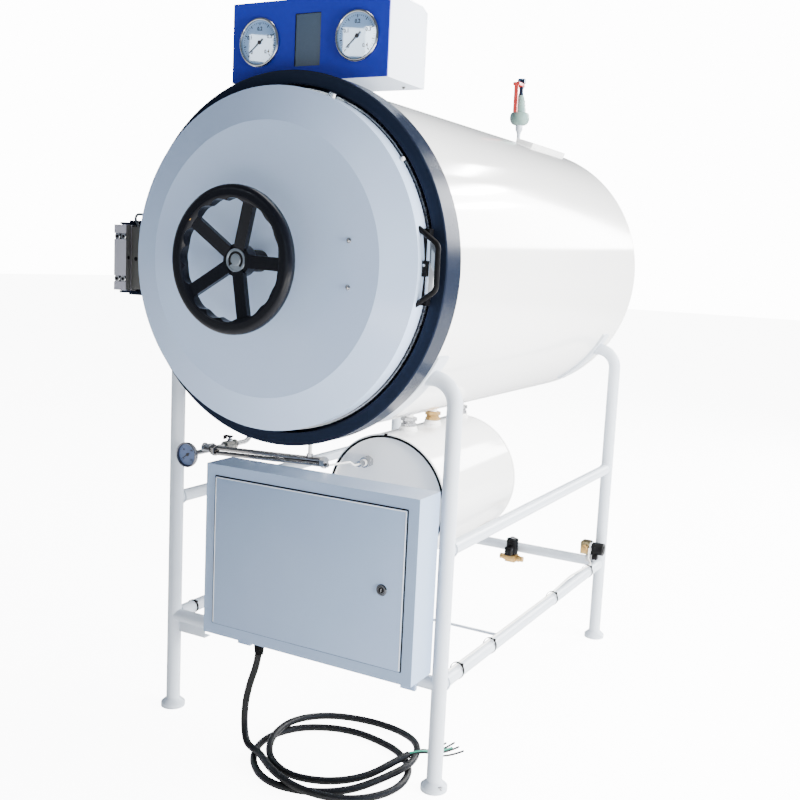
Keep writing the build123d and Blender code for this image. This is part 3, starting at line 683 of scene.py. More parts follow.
# %% Directions
front = Vector((0, -1, 0))
back = Vector((0, 1, 0))
right = Vector((1, 0, 0))
up = Vector((0, 0, 1))
down = Vector((0, 0, -1))
wheel_z = 1.250


def ray_at(degrees):
    """A direction across the machine's front; 0 degrees is to the right, 90 is up."""
    turned = math.radians(degrees)
    return Vector((math.cos(turned), 0, math.sin(turned)))


print("directions: front", tuple(front), "up", tuple(up))

# %% [markdown]
# The handwheel is one casting with a dished nut in its middle. Over the nut sits a silver cap, and its face
# is a shallow recess with a paler disc. A turned shape gives the rim, the recess and the disc in one go.

# %% Cap of the handwheel
cap_place = at(0, -0.166, wheel_z)
wheel_cap = turned_piece("wheel_cap", cap_place, front, [
    (0.0262, 0.0), (0.0262, 0.0020), (0.0254, 0.0029), (0.0222, 0.0029), (0.0214, 0.0018),
    (0.0125, 0.0018), (0.0118, 0.0025), (0.0050, 0.0027), (0.0, 0.0027)], sides=64)
finish_piece(wheel_cap, cap_silver, "wheel", replaces=("handwheel_cap",))
print("wheel cap at", [round(c, 3) for c in cap_place])

# %% [markdown]
# A dark arrow runs most of the way round the recess and shows which way the wheel is turned. Its band is an
# edge that is spun about the wheel's axis. The head is a triangle, started as a circle of three corners.

# %% Arrow on the cap
def arc_bar(name, centre, radius, width, depth, first, sweep, steps=40):
    """A flat bar round the Y axis; angles in degrees, seen from the front."""
    middle = centre + ray_at(first) * radius
    deselect_all()
    bpy.ops.mesh.primitive_plane_add(size=1, location=middle, rotation=(0, -math.radians(first), 0))
    bar = bpy.context.object
    bar.name = name
    bar.scale = (width, depth, 1)
    bpy.ops.object.transform_apply(location=True, rotation=True, scale=True)
    bpy.ops.object.mode_set(mode="EDIT")
    bpy.ops.mesh.select_all(action="SELECT")
    bpy.ops.mesh.spin(steps=steps, angle=math.radians(sweep), center=centre, axis=(0, 1, 0))
    close_mesh()
    return bar


arrow_middle = cap_place + front * 0.0022
arrow_width, arrow_depth = 0.0052, 0.0008
arrow_start, arrow_sweep = -50, 250
arrow_band = arc_bar("cap_arrow", arrow_middle, 0.0170, arrow_width, arrow_depth, arrow_start, arrow_sweep)
finish_piece(arrow_band, matt_black, "wheel")
tip_place = cap_place + ray_at(208) * 0.0165
arrow_tip = turned_piece("cap_arrow_tip", tip_place, front, [(0.0062, 0.0018), (0.0062, 0.0026)], sides=3)
turn_about(arrow_tip, tip_place, -28)
finish_piece(arrow_tip, matt_black, "wheel")
print("arrow band:", len(arrow_band.data.polygons), "faces")

# %% [markdown]
# On the grip of the wheel there is a small brass bush. A loose handle could be screwed in there.

# %% Brass bush in the grip
grip_radius = 0.141
bush_place = at(0, -0.1902, wheel_z) + ray_at(142) * grip_radius
grip_bush = turned_piece("grip_bush", bush_place, front, [
    (0.0050, 0.0), (0.0050, 0.0042), (0.0044, 0.0046), (0.0030, 0.0046), (0.0026, 0.0040),
    (0.0026, 0.0008), (0.0, 0.0008)], sides=32)
finish_piece(grip_bush, brass_metal, "wheel")
print("bush at", [round(c, 3) for c in bush_place])

# %% [markdown]
# Two screws hold a bracket behind the door's inner circle. Their heads are domed and have a hexagon socket,
# and they are the only things on the wide flat face, so the eye finds them at once.

# %% Screws on the door
def dome_screw(name, place, direction, radius, material, body):
    """A domed screw head with a sunk hexagon."""
    washer = turned_piece(name + "_washer", place, direction, [
        (radius * 1.35, 0.0), (radius * 1.35, 0.0008), (radius * 1.25, 0.0012), (0.0, 0.0012)], sides=32)
    finish_piece(washer, material, body)
    head = turned_piece(name, place, direction, [
        (radius, 0.0010), (radius, 0.0022), (radius * 0.92, 0.0034), (radius * 0.72, 0.0044),
        (radius * 0.50, 0.0048), (radius * 0.46, 0.0026), (0.0, 0.0026)], sides=24)
    return washer, finish_piece(head, material, body)


upper_screw, lower_screw = at(0.235, -0.0790, 1.304), at(0.237, -0.0790, 1.203)
for piece in dome_screw("door_screw_upper", upper_screw, front, 0.0045, bright_steel, "door"):
    copied(piece, piece.name.replace("upper", "lower"), lower_screw - upper_screw)
print("door screws: 2")

# %% [markdown]
# The rounded block at the rim, a little right of the top, ends one of the bars that lock the door. The tip of
# the next bar shows as a small bright point between the cover and the ring: it is finished white, a painted
# highlight.

# %% Bar end at the rim
bar_ray = ray_at(68)
bar_place = at(0, -0.030, wheel_z) + bar_ray * 0.3985
bar_end = turned_piece("lock_bar_end", bar_place - bar_ray * 0.008, bar_ray, [
    (0.0095, 0.0), (0.0095, 0.0110), (0.0082, 0.0130), (0.0, 0.0136)], sides=32)
finish_piece(bar_end, polished, "door")
tip_ray = ray_at(35.9)
bar_tip = turned_piece("lock_bar_tip", at(0, -0.0130, wheel_z) + tip_ray * 0.3940, tip_ray, [
    (0.0046, 0.0), (0.0046, 0.0060), (0.0038, 0.0072), (0.0, 0.0074)], sides=28)
finish_piece(bar_tip, insulator_white, "door")
print("bar end at", [round(c, 3) for c in bar_place])

# %% [markdown]
# The pull handle is a bent black rod with a bright plate inside its bow, which keeps fingers off the latch.
# A small chrome button sits on the latch block between the plate and the door.

# %% Plate and button of the pull handle
pull_plate = soft_block("pull_plate", (0.4000, -0.0310, 1.192), (0.4200, -0.0275, 1.318), edge=0.0010)
deselect_all()
pull_plate.select_set(True)
bpy.context.view_layer.objects.active = pull_plate
bpy.ops.object.mode_set(mode="EDIT")
plate_mesh = bmesh.from_edit_mesh(pull_plate.data)
plate_side = axis_x + 0.410
for vertex in plate_mesh.verts:
    vertex.select_set(vertex.co.x > plate_side)
plate_mesh.select_flush_mode()
bmesh.update_edit_mesh(pull_plate.data)
bpy.ops.transform.resize(value=(1, 1, 0.74), center_override=at(0.420, -0.030, 1.255))
bpy.ops.object.mode_set(mode="OBJECT")
finish_piece(pull_plate, polished, "door")
latch_button = turned_piece("pull_latch_button", at(0.3985, -0.0345, 1.259), front, [
    (0.0036, 0.0), (0.0036, 0.0024), (0.0030, 0.0034), (0.0, 0.0037)], sides=32)
finish_piece(latch_button, polished, "door")
dress("door_pull_handle", matt_black)
print("pull handle: plate and button")

# %% [markdown]
# The hinge block is a machined piece with two slots, and two clamping screws shine in each slot. The slots are
# in shade, and each gets a thin dark lining that paints it. A screw is a turned ring round a dark hexagon, its
# socket.

# %% Clamping screws of the hinge
dress("hinge_block", hinge_grey)
# The arms take the same dark finish: painted shade between the block and the door.
dress("hinge_arms", dark_steel)
slot_top, slot_bottom, slot_half = 1.293, 1.187, 0.0072
screw_left, screw_right = -0.4755, -0.4555
slot_shade = soft_block("hinge_slot_top", (-0.4848, -0.0366, slot_top - slot_half),
                    (-0.4452, -0.0358, slot_top + slot_half), edge=0.0002)
finish_piece(slot_shade, matt_black, "door")
screw_place = at(screw_left, -0.0350, slot_top)
head = turned_piece("hinge_screw_left_top", screw_place, front, [
    (0.0088, 0.0), (0.0088, 0.0038), (0.0078, 0.0047), (0.0046, 0.0047), (0.0042, 0.0030), (0.0, 0.0030)],
    sides=32)
finish_piece(head, polished, "door")
socket = turned_piece("hinge_socket_left_top", screw_place, front, [
    (0.0043, 0.0031), (0.0043, 0.0040), (0.0, 0.0040)], sides=6)
finish_piece(socket, matt_black, "door")
for piece in (head, socket):
    copied(piece, piece.name.replace("left", "right"), right * (screw_right - screw_left))
top_row = [o for o in bpy.data.objects if o.name.startswith("hinge_") and o.name.endswith("_top")]
for piece in top_row:
    copied(piece, piece.name.replace("_top", "_low"), up * (slot_bottom - slot_top))
print("pieces in both hinge slots:", 2 * len(top_row))

# %% [markdown]
# The side of the block is in shade, and two thin dark cheeks paint that shade, with the clamping gap between
# them. A web of the same dark finish closes the space between the block and the door, and a hole is drilled
# through it.

# %% Cheeks and holes in the hinge block's side
for label, y0, y1 in (("front", -0.0398, -0.0224), ("back", -0.0202, -0.0004)):
    cheek = soft_block("hinge_cheek_" + label, (-0.4452, y0, 1.1584), (-0.4446, y1, 1.3216), edge=0.0002)
    finish_piece(cheek, dark_steel, "door")
web = soft_block("hinge_web", (-0.4440, -0.0216, 1.1620), (-0.3950, -0.0203, 1.3180), edge=0.0003)
finish_piece(web, dark_steel, "door")
web_hole = turned_piece("hinge_hole_web", at(-0.4285, -0.0215, 1.2380), front, [
    (0.0052, 0.0), (0.0052, 0.0004), (0.0, 0.0004)], sides=28)
finish_piece(web_hole, matt_black, "door")
side_hole = turned_piece("hinge_hole_side", at(-0.4447, -0.0310, 1.2400), right, [
    (0.0040, 0.0), (0.0040, 0.0005), (0.0, 0.0005)], sides=28)
finish_piece(side_hole, matt_black, "door")
print("cheeks: 2, web: 1, holes: 2")

# %% [markdown]
# A thin braided conduit leaves the ring's face above the hinge and turns back behind the door's edge. It is
# short and held at both ends, so it is a bent pipe, and fine rings of braid come from its finish.

# %% Conduit beside the hinge
conduit_grey = metal("conduit_grey", (0.15, 0.16, 0.17), 0.36, stretch=(1, 1, 6), grain=420.0, bump=0.3)
slot_of["conduit_grey"] = "bright_steel"
conduit = bent_pipe("hinge_conduit", [
    at(-0.4080, 0.0020, 1.3500), at(-0.4475, -0.0040, 1.3500), at(-0.4475, -0.0040, 1.3360),
    at(-0.4250, -0.0040, 1.3000)], 0.0105, 0.0033, sides=20, steps=8)
finish_piece(conduit, conduit_grey)
print("conduit faces:", len(conduit.data.polygons))

# %% [markdown]
# A pressure gauge is a steel case with a rolled bezel, a white dial and a pointer. The bezel is a turned
# ring. The dial under it is a plain disc with a strong coat, which reflects like the glass in front of it.

# %% Dial finishes
def dial_finish(name, colour, glass=1.0):
    """A printed dial behind glass: a matt colour under a smooth coat."""
    material, tree, shader = new_material(name)
    place = tree.nodes.new("ShaderNodeTexCoord")
    noise = add_noise(tree, 60.0, 2.0, place.outputs["Object"])
    add_tint(tree, noise.outputs["Fac"], [0.94 * c for c in colour], colour, shader.inputs["Base Color"])
    tree.links.new(add_range(tree, noise.outputs["Fac"], 0.42, 0.52), shader.inputs["Roughness"])
    shader.inputs["Coat Weight"].default_value = glass
    shader.inputs["Coat Roughness"].default_value = 0.02
    return material


# The white dial is tinted blue: a painted reflection of the sky in its glass.
dial_white = dial_finish("dial_white", (0.22, 0.37, 0.62))
dial_blue = dial_finish("dial_blue", (0.105, 0.155, 0.31), glass=0.35)
dial_ink = dial_finish("dial_ink", (0.012, 0.013, 0.016), glass=0.15)
slot_of.update({"dial_white": "gauge_steel", "dial_ink": "gauge_steel", "dial_blue": "gauge_steel"})
print("dial finishes:", dial_white.name, dial_blue.name, dial_ink.name)

# %% [markdown]
# The scale of a dial is a ring of short bars, and every fifth bar is longer and wider. Each figure is a text
# object that becomes a mesh before its place is applied, because the model keeps meshes only.

# %% Marks, figures and pointer of a dial
dial_first, dial_sweep = -135, 270
marks_to_long = 5


def dial_ray(angle):
    """A direction on the dial; 0 degrees is up and angles grow clockwise."""
    turned = math.radians(angle)
    return Vector((math.sin(turned), 0, math.cos(turned)))


def bar_on_dial(name, centre, angle, inner, outer, width, depth, proud, taper=1.0):
    """A flat bar along a ray of the dial, thinner at its outer end when it tapers."""
    ray = dial_ray(angle)
    middle = centre + ray * (inner + outer) / 2 + front * proud
    deselect_all()
    bpy.ops.mesh.primitive_cube_add(
        size=1, location=middle, rotation=(0, math.radians(angle), 0), scale=(width, depth, outer - inner))
    bar = bpy.context.object
    bar.name = name
    bpy.ops.object.transform_apply(location=True, rotation=True, scale=True)
    if taper != 1.0:
        bpy.ops.object.mode_set(mode="EDIT")
        mesh = bmesh.from_edit_mesh(bar.data)
        for vertex in mesh.verts:
            vertex.select_set((vertex.co - middle).dot(ray) > 0)
        mesh.select_flush_mode()
        bmesh.update_edit_mesh(bar.data)
        bpy.ops.transform.resize(value=(taper, 1, taper), center_override=centre + ray * outer)
        bpy.ops.object.mode_set(mode="OBJECT")
    return bar


def dial_figure(name, text, place, size):
    """A figure printed on the dial, as a thin mesh."""
    deselect_all()
    bpy.ops.object.text_add(location=place, rotation=(math.pi / 2, 0, 0))
    figure = bpy.context.object
    figure.name = name
    figure.data.body = text
    figure.data.size = size
    figure.data.align_x = "CENTER"
    figure.data.align_y = "CENTER"
    figure.data.resolution_u = 2
    figure.data.offset = size * 0.030
    figure.data.extrude = 0.00012
    bpy.ops.object.convert(target="MESH")
    return bpy.context.object


def joined(name, pieces):
    """Joins several meshes into one piece."""
    deselect_all()
    for piece in pieces:
        piece.select_set(True)
    bpy.context.view_layer.objects.active = pieces[0]
    bpy.ops.object.join()
    pieces[0].name = name
    return pieces[0]


def dial_print(name, centre, radius, marks, figures):
    """All marks and figures of a dial as one thin piece."""
    parts = []
    for step in range(marks + 1):
        long_one = step % marks_to_long == 0
        inner = radius * (0.80 if long_one else 0.87)
        width = radius * (0.046 if long_one else 0.022)
        angle = dial_first + dial_sweep * step / marks
        parts.append(bar_on_dial(name, centre, angle, inner, radius * 0.94, width, 0.0002, 0.0001))
    for step, text in enumerate(figures):
        angle = dial_first + dial_sweep * step / (len(figures) - 1)
        place = centre + dial_ray(angle) * radius * 0.63 + front * 0.0001
        parts.append(dial_figure(name, text, place, radius * 0.25))
    return finish_piece(joined(name, parts), dial_ink)


print("helpers for dials: dial_ray, bar_on_dial, dial_figure, joined, dial_print")

# %% [markdown]
# Both gauges are alike: a case of 115 mm with a bezel that stands eight millimetres proud of the panel. The
# left one is made and copied. The pointers rest near the start of the scale, because there is no steam in
# the vessel, and they don't agree to the degree, so each is set by itself.

# %% Two pressure gauges
gauge_radius = 0.0575
gauge_figures = ("0", "0.1", "0.2", "0.3", "0.4")
gauge_reach = 0.137
gauge_place = at(-gauge_reach, 0.0818, 1.768)
gauge_step = right * 2 * gauge_reach

bezel = turned_piece("gauge_bezel_left", gauge_place, front, [
    (gauge_radius, 0.0), (gauge_radius, 0.0052), (0.0566, 0.0066), (0.0550, 0.0076), (0.0530, 0.0078),
    (0.0516, 0.0070), (0.0508, 0.0046), (0.0504, 0.0)], sides=96, ring=True)
finish_piece(bezel, polished, replaces=("gauge_left",))
dial = turned_piece("gauge_dial_left", gauge_place, front, [(0.0508, 0.0005), (0.0508, 0.0028)], sides=64)
finish_piece(dial, dial_white)
gauge_face = gauge_place + front * 0.0028
scale_print = dial_print("gauge_print_left", gauge_face, 0.0500, 40, gauge_figures)
pointer_nut = turned_piece("gauge_nut_left", gauge_face, front, [
    (0.0050, 0.0), (0.0050, 0.0020), (0.0040, 0.0026), (0.0, 0.0028)], sides=32)
finish_piece(pointer_nut, dial_ink)
copied(bezel, "gauge_bezel_right", gauge_step, replaces=("gauge_right",))
for piece in (dial, scale_print, pointer_nut):
    copied(piece, piece.name.replace("left", "right"), gauge_step)
for side, face, angle in (("left", gauge_face, -128), ("right", gauge_face + gauge_step, -132)):
    pointer = bar_on_dial("gauge_pointer_" + side, face, angle, -0.012, 0.038, 0.0044, 0.0006, 0.0012, 0.4)
    finish_piece(pointer, dial_ink)

# %% [markdown]
# The dark window between the gauges sits behind the blue panel. The panel's cut edge is in shade on the left
# and at the top, and a dark lip along both draws that shade from any side.

# %% Lip of the window and the screw below
window_low, window_high = (-0.0360, 1.7080), (0.0360, 1.8280)
lip_w = 0.0014
lip_rows = (
    ("left", window_low, (window_low[0] + lip_w, window_high[1])),
    ("top", (window_low[0], window_high[1] - lip_w), window_high))
for label, (x0, z0), (x1, z1) in lip_rows:
    lip = soft_block("window_lip_" + label, (x0, 0.0816, z0), (x1, 0.0838, z1), edge=0.0003)
    finish_piece(lip, matt_black)
dome_screw("control_screw", at(0.186, 0.220, 1.6762), down, 0.0034, dark_steel, "autoclave")
print("window lips:", len(lip_rows))

# %% [markdown]
# The door of the electrical box is a folded sheet. Its rounded edges catch the light on one side and draw a
# dark line on the other, which is how the eye tells a door from a plate. A block with a fine bevel does it.

# %% Door of the electrical box
box_panel = soft_block("box_door_panel", (-0.1738, -0.0030, 0.3320), (0.3700, -0.0004, 0.7120),
                       edge=0.0021, segments=3)
finish_piece(box_panel, cabinet_grey, "box_door", replaces=("electrical_box_door",))
print("door panel faces:", len(box_panel.data.polygons))

# %% [markdown]
# Under the door's edge, four thin black blocks paint the shade of the gap as a dark line all round the door,
# widest at the top and on the right. The left one stays clear of the swinging edge.

# %% Painted shade in the gap round the door
gap_shade_w = 0.0030
gap_shade_rows = (
    ("top", (-0.1750, 0.7120), (0.3721, 0.7120 + gap_shade_w)),
    ("right", (0.3700, 0.3320), (0.3700 + gap_shade_w, 0.7130)),
    ("bottom", (-0.1750, 0.3308), (0.3721, 0.3320)),
    ("left", (-0.1764, 0.3320), (-0.1752, 0.7130)))
for label, (x0, z0), (x1, z1) in gap_shade_rows:
    gap_shade = soft_block("box_seal_" + label, (x0, -0.0016, z0), (x1, 0.0004, z1), edge=0.0003)
    finish_piece(gap_shade, matt_black)
print("seal strips:", len(gap_shade_rows))

# %% [markdown]
# Where the sheet is folded, a white line of light shines beside the dark gap. Three strips along the door's
# edge paint that highlight, a little proud of the sheet.

# %% Painted highlights on the door's folds
fold_w = 0.0019
fold_highlight_rows = (
    ("top", (-0.1700, 0.7092), (0.3676, 0.7092 + fold_w)),
    ("right", (0.3670, 0.3350), (0.3670 + fold_w, 0.7092)),
    ("left", (-0.1728, 0.3350), (-0.1728 + fold_w, 0.7092)))
for label, (x0, z0), (x1, z1) in fold_highlight_rows:
    fold = soft_block("box_fold_" + label, (x0, -0.0034, z0), (x1, -0.0020, z1), edge=0.0005)
    finish_piece(fold, fold_white, "box_door")
print("folds:", len(fold_highlight_rows))

# %% [markdown]
# The lock of the electrical box is a chrome barrel with a turned collar and a key slot. The collar's chrome is
# a dark metal and the barrel's face matt black, a painted dark reflection, and the key slot is a polished
# strip. It stands a few millimetres proud of the door.

# %% Lock of the electrical box
lock_place = at(0.314, -0.0026, 0.517)
lock_ring = turned_piece("lock_collar", lock_place, front, [
    (0.0138, 0.0), (0.0138, 0.0018), (0.0124, 0.0036), (0.0094, 0.0040), (0.0084, 0.0026), (0.0, 0.0026)],
    sides=48)
finish_piece(lock_ring, lock_chrome, "box_door", replaces=("box_lock",))
lock_heart = turned_piece("lock_barrel", lock_place, front, [
    (0.0068, 0.0022), (0.0068, 0.0036), (0.0060, 0.0040), (0.0, 0.0040)], sides=32)
finish_piece(lock_heart, matt_black, "box_door")
key_slot = soft_block("lock_key_slot", (0.3134, -0.0068, 0.5132), (0.3146, -0.0060, 0.5208), edge=0.0002)
finish_piece(key_slot, polished, "box_door")
lock_back = turned_piece("lock_nut", lock_place + back * 0.0020, back, [
    (0.0090, 0.0), (0.0090, 0.0100), (0.0080, 0.0110), (0.0, 0.0110)], sides=6)
finish_piece(lock_back, bright_steel, "box_door")
print("lock at", [round(c, 3) for c in lock_place])

# %% [markdown]
# The cable passes the box's floor through a gland: a painted hexagon nut, and under it a ribbed sleeve that
# tapers to the cable and keeps it from kinking. The ribs are steps of one lathe profile.

# %% Cable gland with its sleeve
gland_place = at(-0.060, 0.045, 0.302)
gland_nut = turned_piece("gland_nut", gland_place + up * 0.0008, down, [
    (0.0165, 0.0), (0.0175, 0.0010), (0.0175, 0.0090), (0.0165, 0.0100), (0.0, 0.0100)], sides=6)
finish_piece(gland_nut, cabinet_grey, replaces=("cable_gland",), angle=20)
rib_profile = [(0.0140, 0.0090), (0.0140, 0.0130)]
rib_count = 6
for rib in range(rib_count):
    station = 0.0145 + 0.0050 * rib
    radius = 0.0138 - 0.00055 * rib
    rib_profile += [(radius - 0.0014, station), (radius, station + 0.0010), (radius, station + 0.0030),
                    (radius - 0.0014, station + 0.0040)]
rib_profile += [(0.0, 0.0462)]
gland_sleeve = turned_piece("gland_sleeve", gland_place, down, rib_profile, sides=40)
finish_piece(gland_sleeve, matt_black)
print("gland ribs:", rib_count)

# %% [markdown]
# The frame is bent from white tube and welded. A weld shows as a low fillet round the end of each rail, so a
# thin ring with a sloping profile lies where a rail meets a leg. One ring is modelled and copied.

# %% Weld beads of the rails
rail_radius = 0.017
leg_radius = 0.019
leg_reach = 0.4115
leg_stations = (0.128, 1.361)
rail_heights = (0.597, 0.266)

bead_place = at(-leg_reach, leg_stations[0] + leg_radius - 0.0022, rail_heights[0])
bead = turned_piece("weld_bead_0", bead_place, back, [
    (rail_radius - 0.001, 0.0), (rail_radius + 0.0042, 0.0), (rail_radius + 0.0030, 0.0030),
    (rail_radius + 0.0002, 0.0062), (rail_radius - 0.001, 0.0062)], sides=32, ring=True)
finish_piece(bead, frame_white)
rail_middle = at(0, sum(leg_stations) / 2, 0)
beads = [bead, copied(bead, "weld_bead_1", up * (rail_heights[1] - rail_heights[0]))]
for source in beads[:]:
    beads.append(copied(source, "weld_bead_%d" % len(beads), right * 2 * leg_reach))
for source in beads[:]:
    beads.append(copied(source, "weld_bead_%d" % len(beads), about=rail_middle, degrees=180))
print("weld beads:", len(beads))

# %% [markdown]
# A thin pale cable lies on top of the right lower rail and leads to the valves at the back. It is tied down,
# so it is a bent pipe that follows the rail and lifts a little between the last two ties.

# %% Cable on the right lower rail
rail_x, rail_z = 0.4115, 0.266
wire_radius = 0.0030
wire_z = rail_z + rail_radius + wire_radius
rail_wire = bent_pipe("rail_wire", [
    at(rail_x, 0.170, wire_z), at(rail_x, 0.893, wire_z), at(rail_x + 0.002, 1.050, wire_z + 0.012),
    at(rail_x, 1.227, wire_z), at(rail_x, 1.262, wire_z), at(rail_x - 0.012, 1.268, 0.300),
    at(rail_x - 0.012, 1.268, 0.336)], 0.012, wire_radius, sides=16)
finish_piece(rail_wire, insulator_white)
print("rail wire faces:", len(rail_wire.data.polygons))

# %% [markdown]
# Black cable ties are pulled tight round the lower rails. A tie is a narrow closed band with a small head, and
# both are kept as one piece. On the right rail a tie holds the thin cable too, so it is drawn out upwards.

# %% Cable ties
tie_radius = rail_radius + 0.0022
tie_half, tie_wall = 0.0032, 0.0013
tie_stations = ((1, 0.225), (1, 0.425), (1, 0.893), (1, 1.227), (-1, 0.205), (-1, 0.640))
tie_side, tie_y = tie_stations[0]
tie_place = at(tie_side * leg_reach, tie_y, rail_heights[1])

tie_band = turned_piece("tie_band", tie_place, back, [
    (tie_radius - tie_wall, -tie_half), (tie_radius, -tie_half), (tie_radius, tie_half),
    (tie_radius - tie_wall, tie_half)], sides=40, ring=True)
head_x, head_z = leg_reach + 0.0130, rail_heights[1] + 0.0155
tie_head = soft_block("tie_head", (head_x - 0.0028, tie_y - 0.0034, head_z - 0.0028),
                      (head_x + 0.0028, tie_y + 0.0034, head_z + 0.0028), edge=0.0008)
ties = [finish_piece(joined("cable_tie_0", [tie_band, tie_head]), matt_black)]
for number, (side, y) in enumerate(tie_stations[1:], start=1):
    step = right * (side - tie_side) * leg_reach + back * (y - tie_y)
    ties.append(copied(ties[0], "cable_tie_%d" % number, step))
tie_foot = Matrix.Translation(tie_place + down * tie_radius)
tie_stretch = tie_foot @ Matrix.Scale(1.143, 4, up) @ tie_foot.inverted()
for tie, (side, y) in zip(ties, tie_stations):
    if side == tie_side:
        tie.data.transform(tie_stretch)
print("cable ties:", len(ties))

# %% [markdown]
# A thin rod crosses between the lower rails, where the drain pipes can rest. It is the straight case of a
# bent pipe.

# %% Thin cross rod
straight = 0.02
rod_ends = [at(-0.4080, 0.480, 0.280), at(0.4080, 0.480, 0.280)]
cross_rod = bent_pipe("cross_rod", rod_ends, straight, 0.004, sides=16)
finish_piece(cross_rod, frame_white)
print("cross rod faces:", len(cross_rod.data.polygons))

# %% [markdown]
# One of the front feet is bolted down, and the bolt's domed head shows on the flange with a dark ring of
# shadow round it. The other feet have only the holes.

# %% Bolt and holes of the feet
foot_bolt = turned_piece("foot_bolt", at(0.4330, 0.1160, 0.0105), up, [
    (0.0088, 0.0), (0.0088, 0.0022), (0.0066, 0.0026), (0.0066, 0.0068), (0.0056, 0.0078), (0.0, 0.0078)],
    sides=6)
finish_piece(foot_bolt, bright_steel, angle=20)
foot_places = [at(side * leg_reach, y, 0.0106) for side in (-1, 1) for y in leg_stations]
hole_ray = Vector((1, 1, 0)).normalized() * 0.0272
hole = turned_piece("foot_hole_0", foot_places[0] + hole_ray, up, [
    (0.0034, 0.0), (0.0034, 0.0007), (0.0, 0.0007)], sides=20)
finish_piece(hole, matt_black)
holes = [hole, copied(hole, "foot_hole_1", -2 * hole_ray)]
for place in foot_places[1:]:
    for source in holes[:2]:
        holes.append(copied(source, "foot_hole_%d" % len(holes), place - foot_places[0]))
print("foot bolt and holes:", 1 + len(holes))

# %% [markdown]
# Under the front cross rail, beside the left leg, a short angle is welded. It is folded from one sheet, so it
# is two thin plates at a right angle.

# %% Angle under the front cross rail
strip_face = soft_block("strip_face", (-0.3920, 0.1260, 0.2200), (-0.3020, 0.1285, 0.2490), edge=0.0008)
strip_foot = soft_block("strip_foot", (-0.3920, 0.1260, 0.2200), (-0.3020, 0.1500, 0.2225), edge=0.0008)
finish_piece(joined("angle_strip", [strip_face, strip_foot]), frame_white)
print("angle strip added")

# %% [markdown]
# The steam generator is a drum with dished rims. The joint of its front plate is a dark line, and a rolled
# bead runs round both ends, so each end gets a turned ring.

# %% Rims of the generator
drum_place = at(0.115, 0.352, 0.629)
drum_length = 0.471
drum_radius = 0.178
rim = turned_piece("drum_rim_front", drum_place, back, [
    (drum_radius - 0.0010, 0.0), (drum_radius + 0.0012, 0.0008), (drum_radius + 0.0022, 0.0030),
    (drum_radius + 0.0022, 0.0070), (drum_radius + 0.0012, 0.0092), (drum_radius - 0.0010, 0.0100)],
    sides=96, ring=True)
finish_piece(rim, white_enamel)
copied(rim, "drum_rim_rear", back * (drum_length - 0.010))
drum_joint = turned_piece("drum_joint", drum_place + front * 0.0012, back, [
    (drum_radius - 0.0080, 0.0), (drum_radius - 0.0022, 0.0), (drum_radius - 0.0016, 0.0016),
    (drum_radius - 0.0080, 0.0016)], sides=96, ring=True)
finish_piece(drum_joint, matt_black)
drum_clamp = soft_block("drum_clamp", (0.1040, 0.3490, 0.8010), (0.1130, 0.3560, 0.8100), edge=0.0012)
finish_piece(drum_clamp, matt_black)
print("generator rims: 2, joint: 1, clamp: 1")

# %% [markdown]
# Steam rises to the vessel through three short pipes. Each stands on a painted boss and has a union in the
# middle: a hexagon, a collar and a second hexagon. The first is made and copied, and the middle copy is
# brass.

# %% Unions of the steam risers
riser_x = 0.115
union_stations = {"a": 0.465, "b": 0.610, "c": 0.790}
union_foot = at(riser_x, union_stations["a"], 0.8020)
union_place = union_foot + up * 0.0156
boss = turned_piece("union_boss_a", union_foot, up, [
    (0.0260, 0.0), (0.0260, 0.0080), (0.0230, 0.0110), (0.0230, 0.0160), (0.0, 0.0160)], sides=40)
finish_piece(boss, white_enamel)
lower = turned_piece("union_lower_a", union_place, up, [
    (0.0190, 0.0), (0.0212, 0.0010), (0.0212, 0.0080), (0.0190, 0.0092), (0.0, 0.0092)], sides=6)
finish_piece(lower, bright_steel, angle=20)
collar = turned_piece("union_collar_a", union_place, up, [
    (0.0182, 0.0088), (0.0182, 0.0130), (0.0172, 0.0140), (0.0, 0.0140)], sides=40)
finish_piece(collar, bright_steel)
upper = turned_piece("union_upper_a", union_place, up, [
    (0.0196, 0.0138), (0.0226, 0.0150), (0.0226, 0.0240), (0.0196, 0.0254), (0.0, 0.0254)], sides=6)
finish_piece(upper, bright_steel, angle=20)
riser_ends = [at(riser_x, union_stations["a"], 0.812), at(riser_x, union_stations["a"], 0.852)]
riser = bent_pipe("riser_pipe_a", riser_ends, straight, 0.012, sides=28)
finish_piece(riser, white_enamel, replaces=("steam_risers",))
for label in ("b", "c"):
    step = back * (union_stations[label] - union_stations["a"])
    metal_finish = brass_metal if label == "b" else None
    for piece in (lower, collar, upper):
        copied(piece, piece.name[:-1] + label, step, material=metal_finish)
    copied(boss, "union_boss_" + label, step)
    copied(riser, "riser_pipe_" + label, step, replaces=("steam_risers",))
print("unions:", len(union_stations))

# %% [markdown]
# The temperature probe screws into the generator's front plate. It has a hexagon, a white insulator and a
# thin white cable that goes up to the drain header.

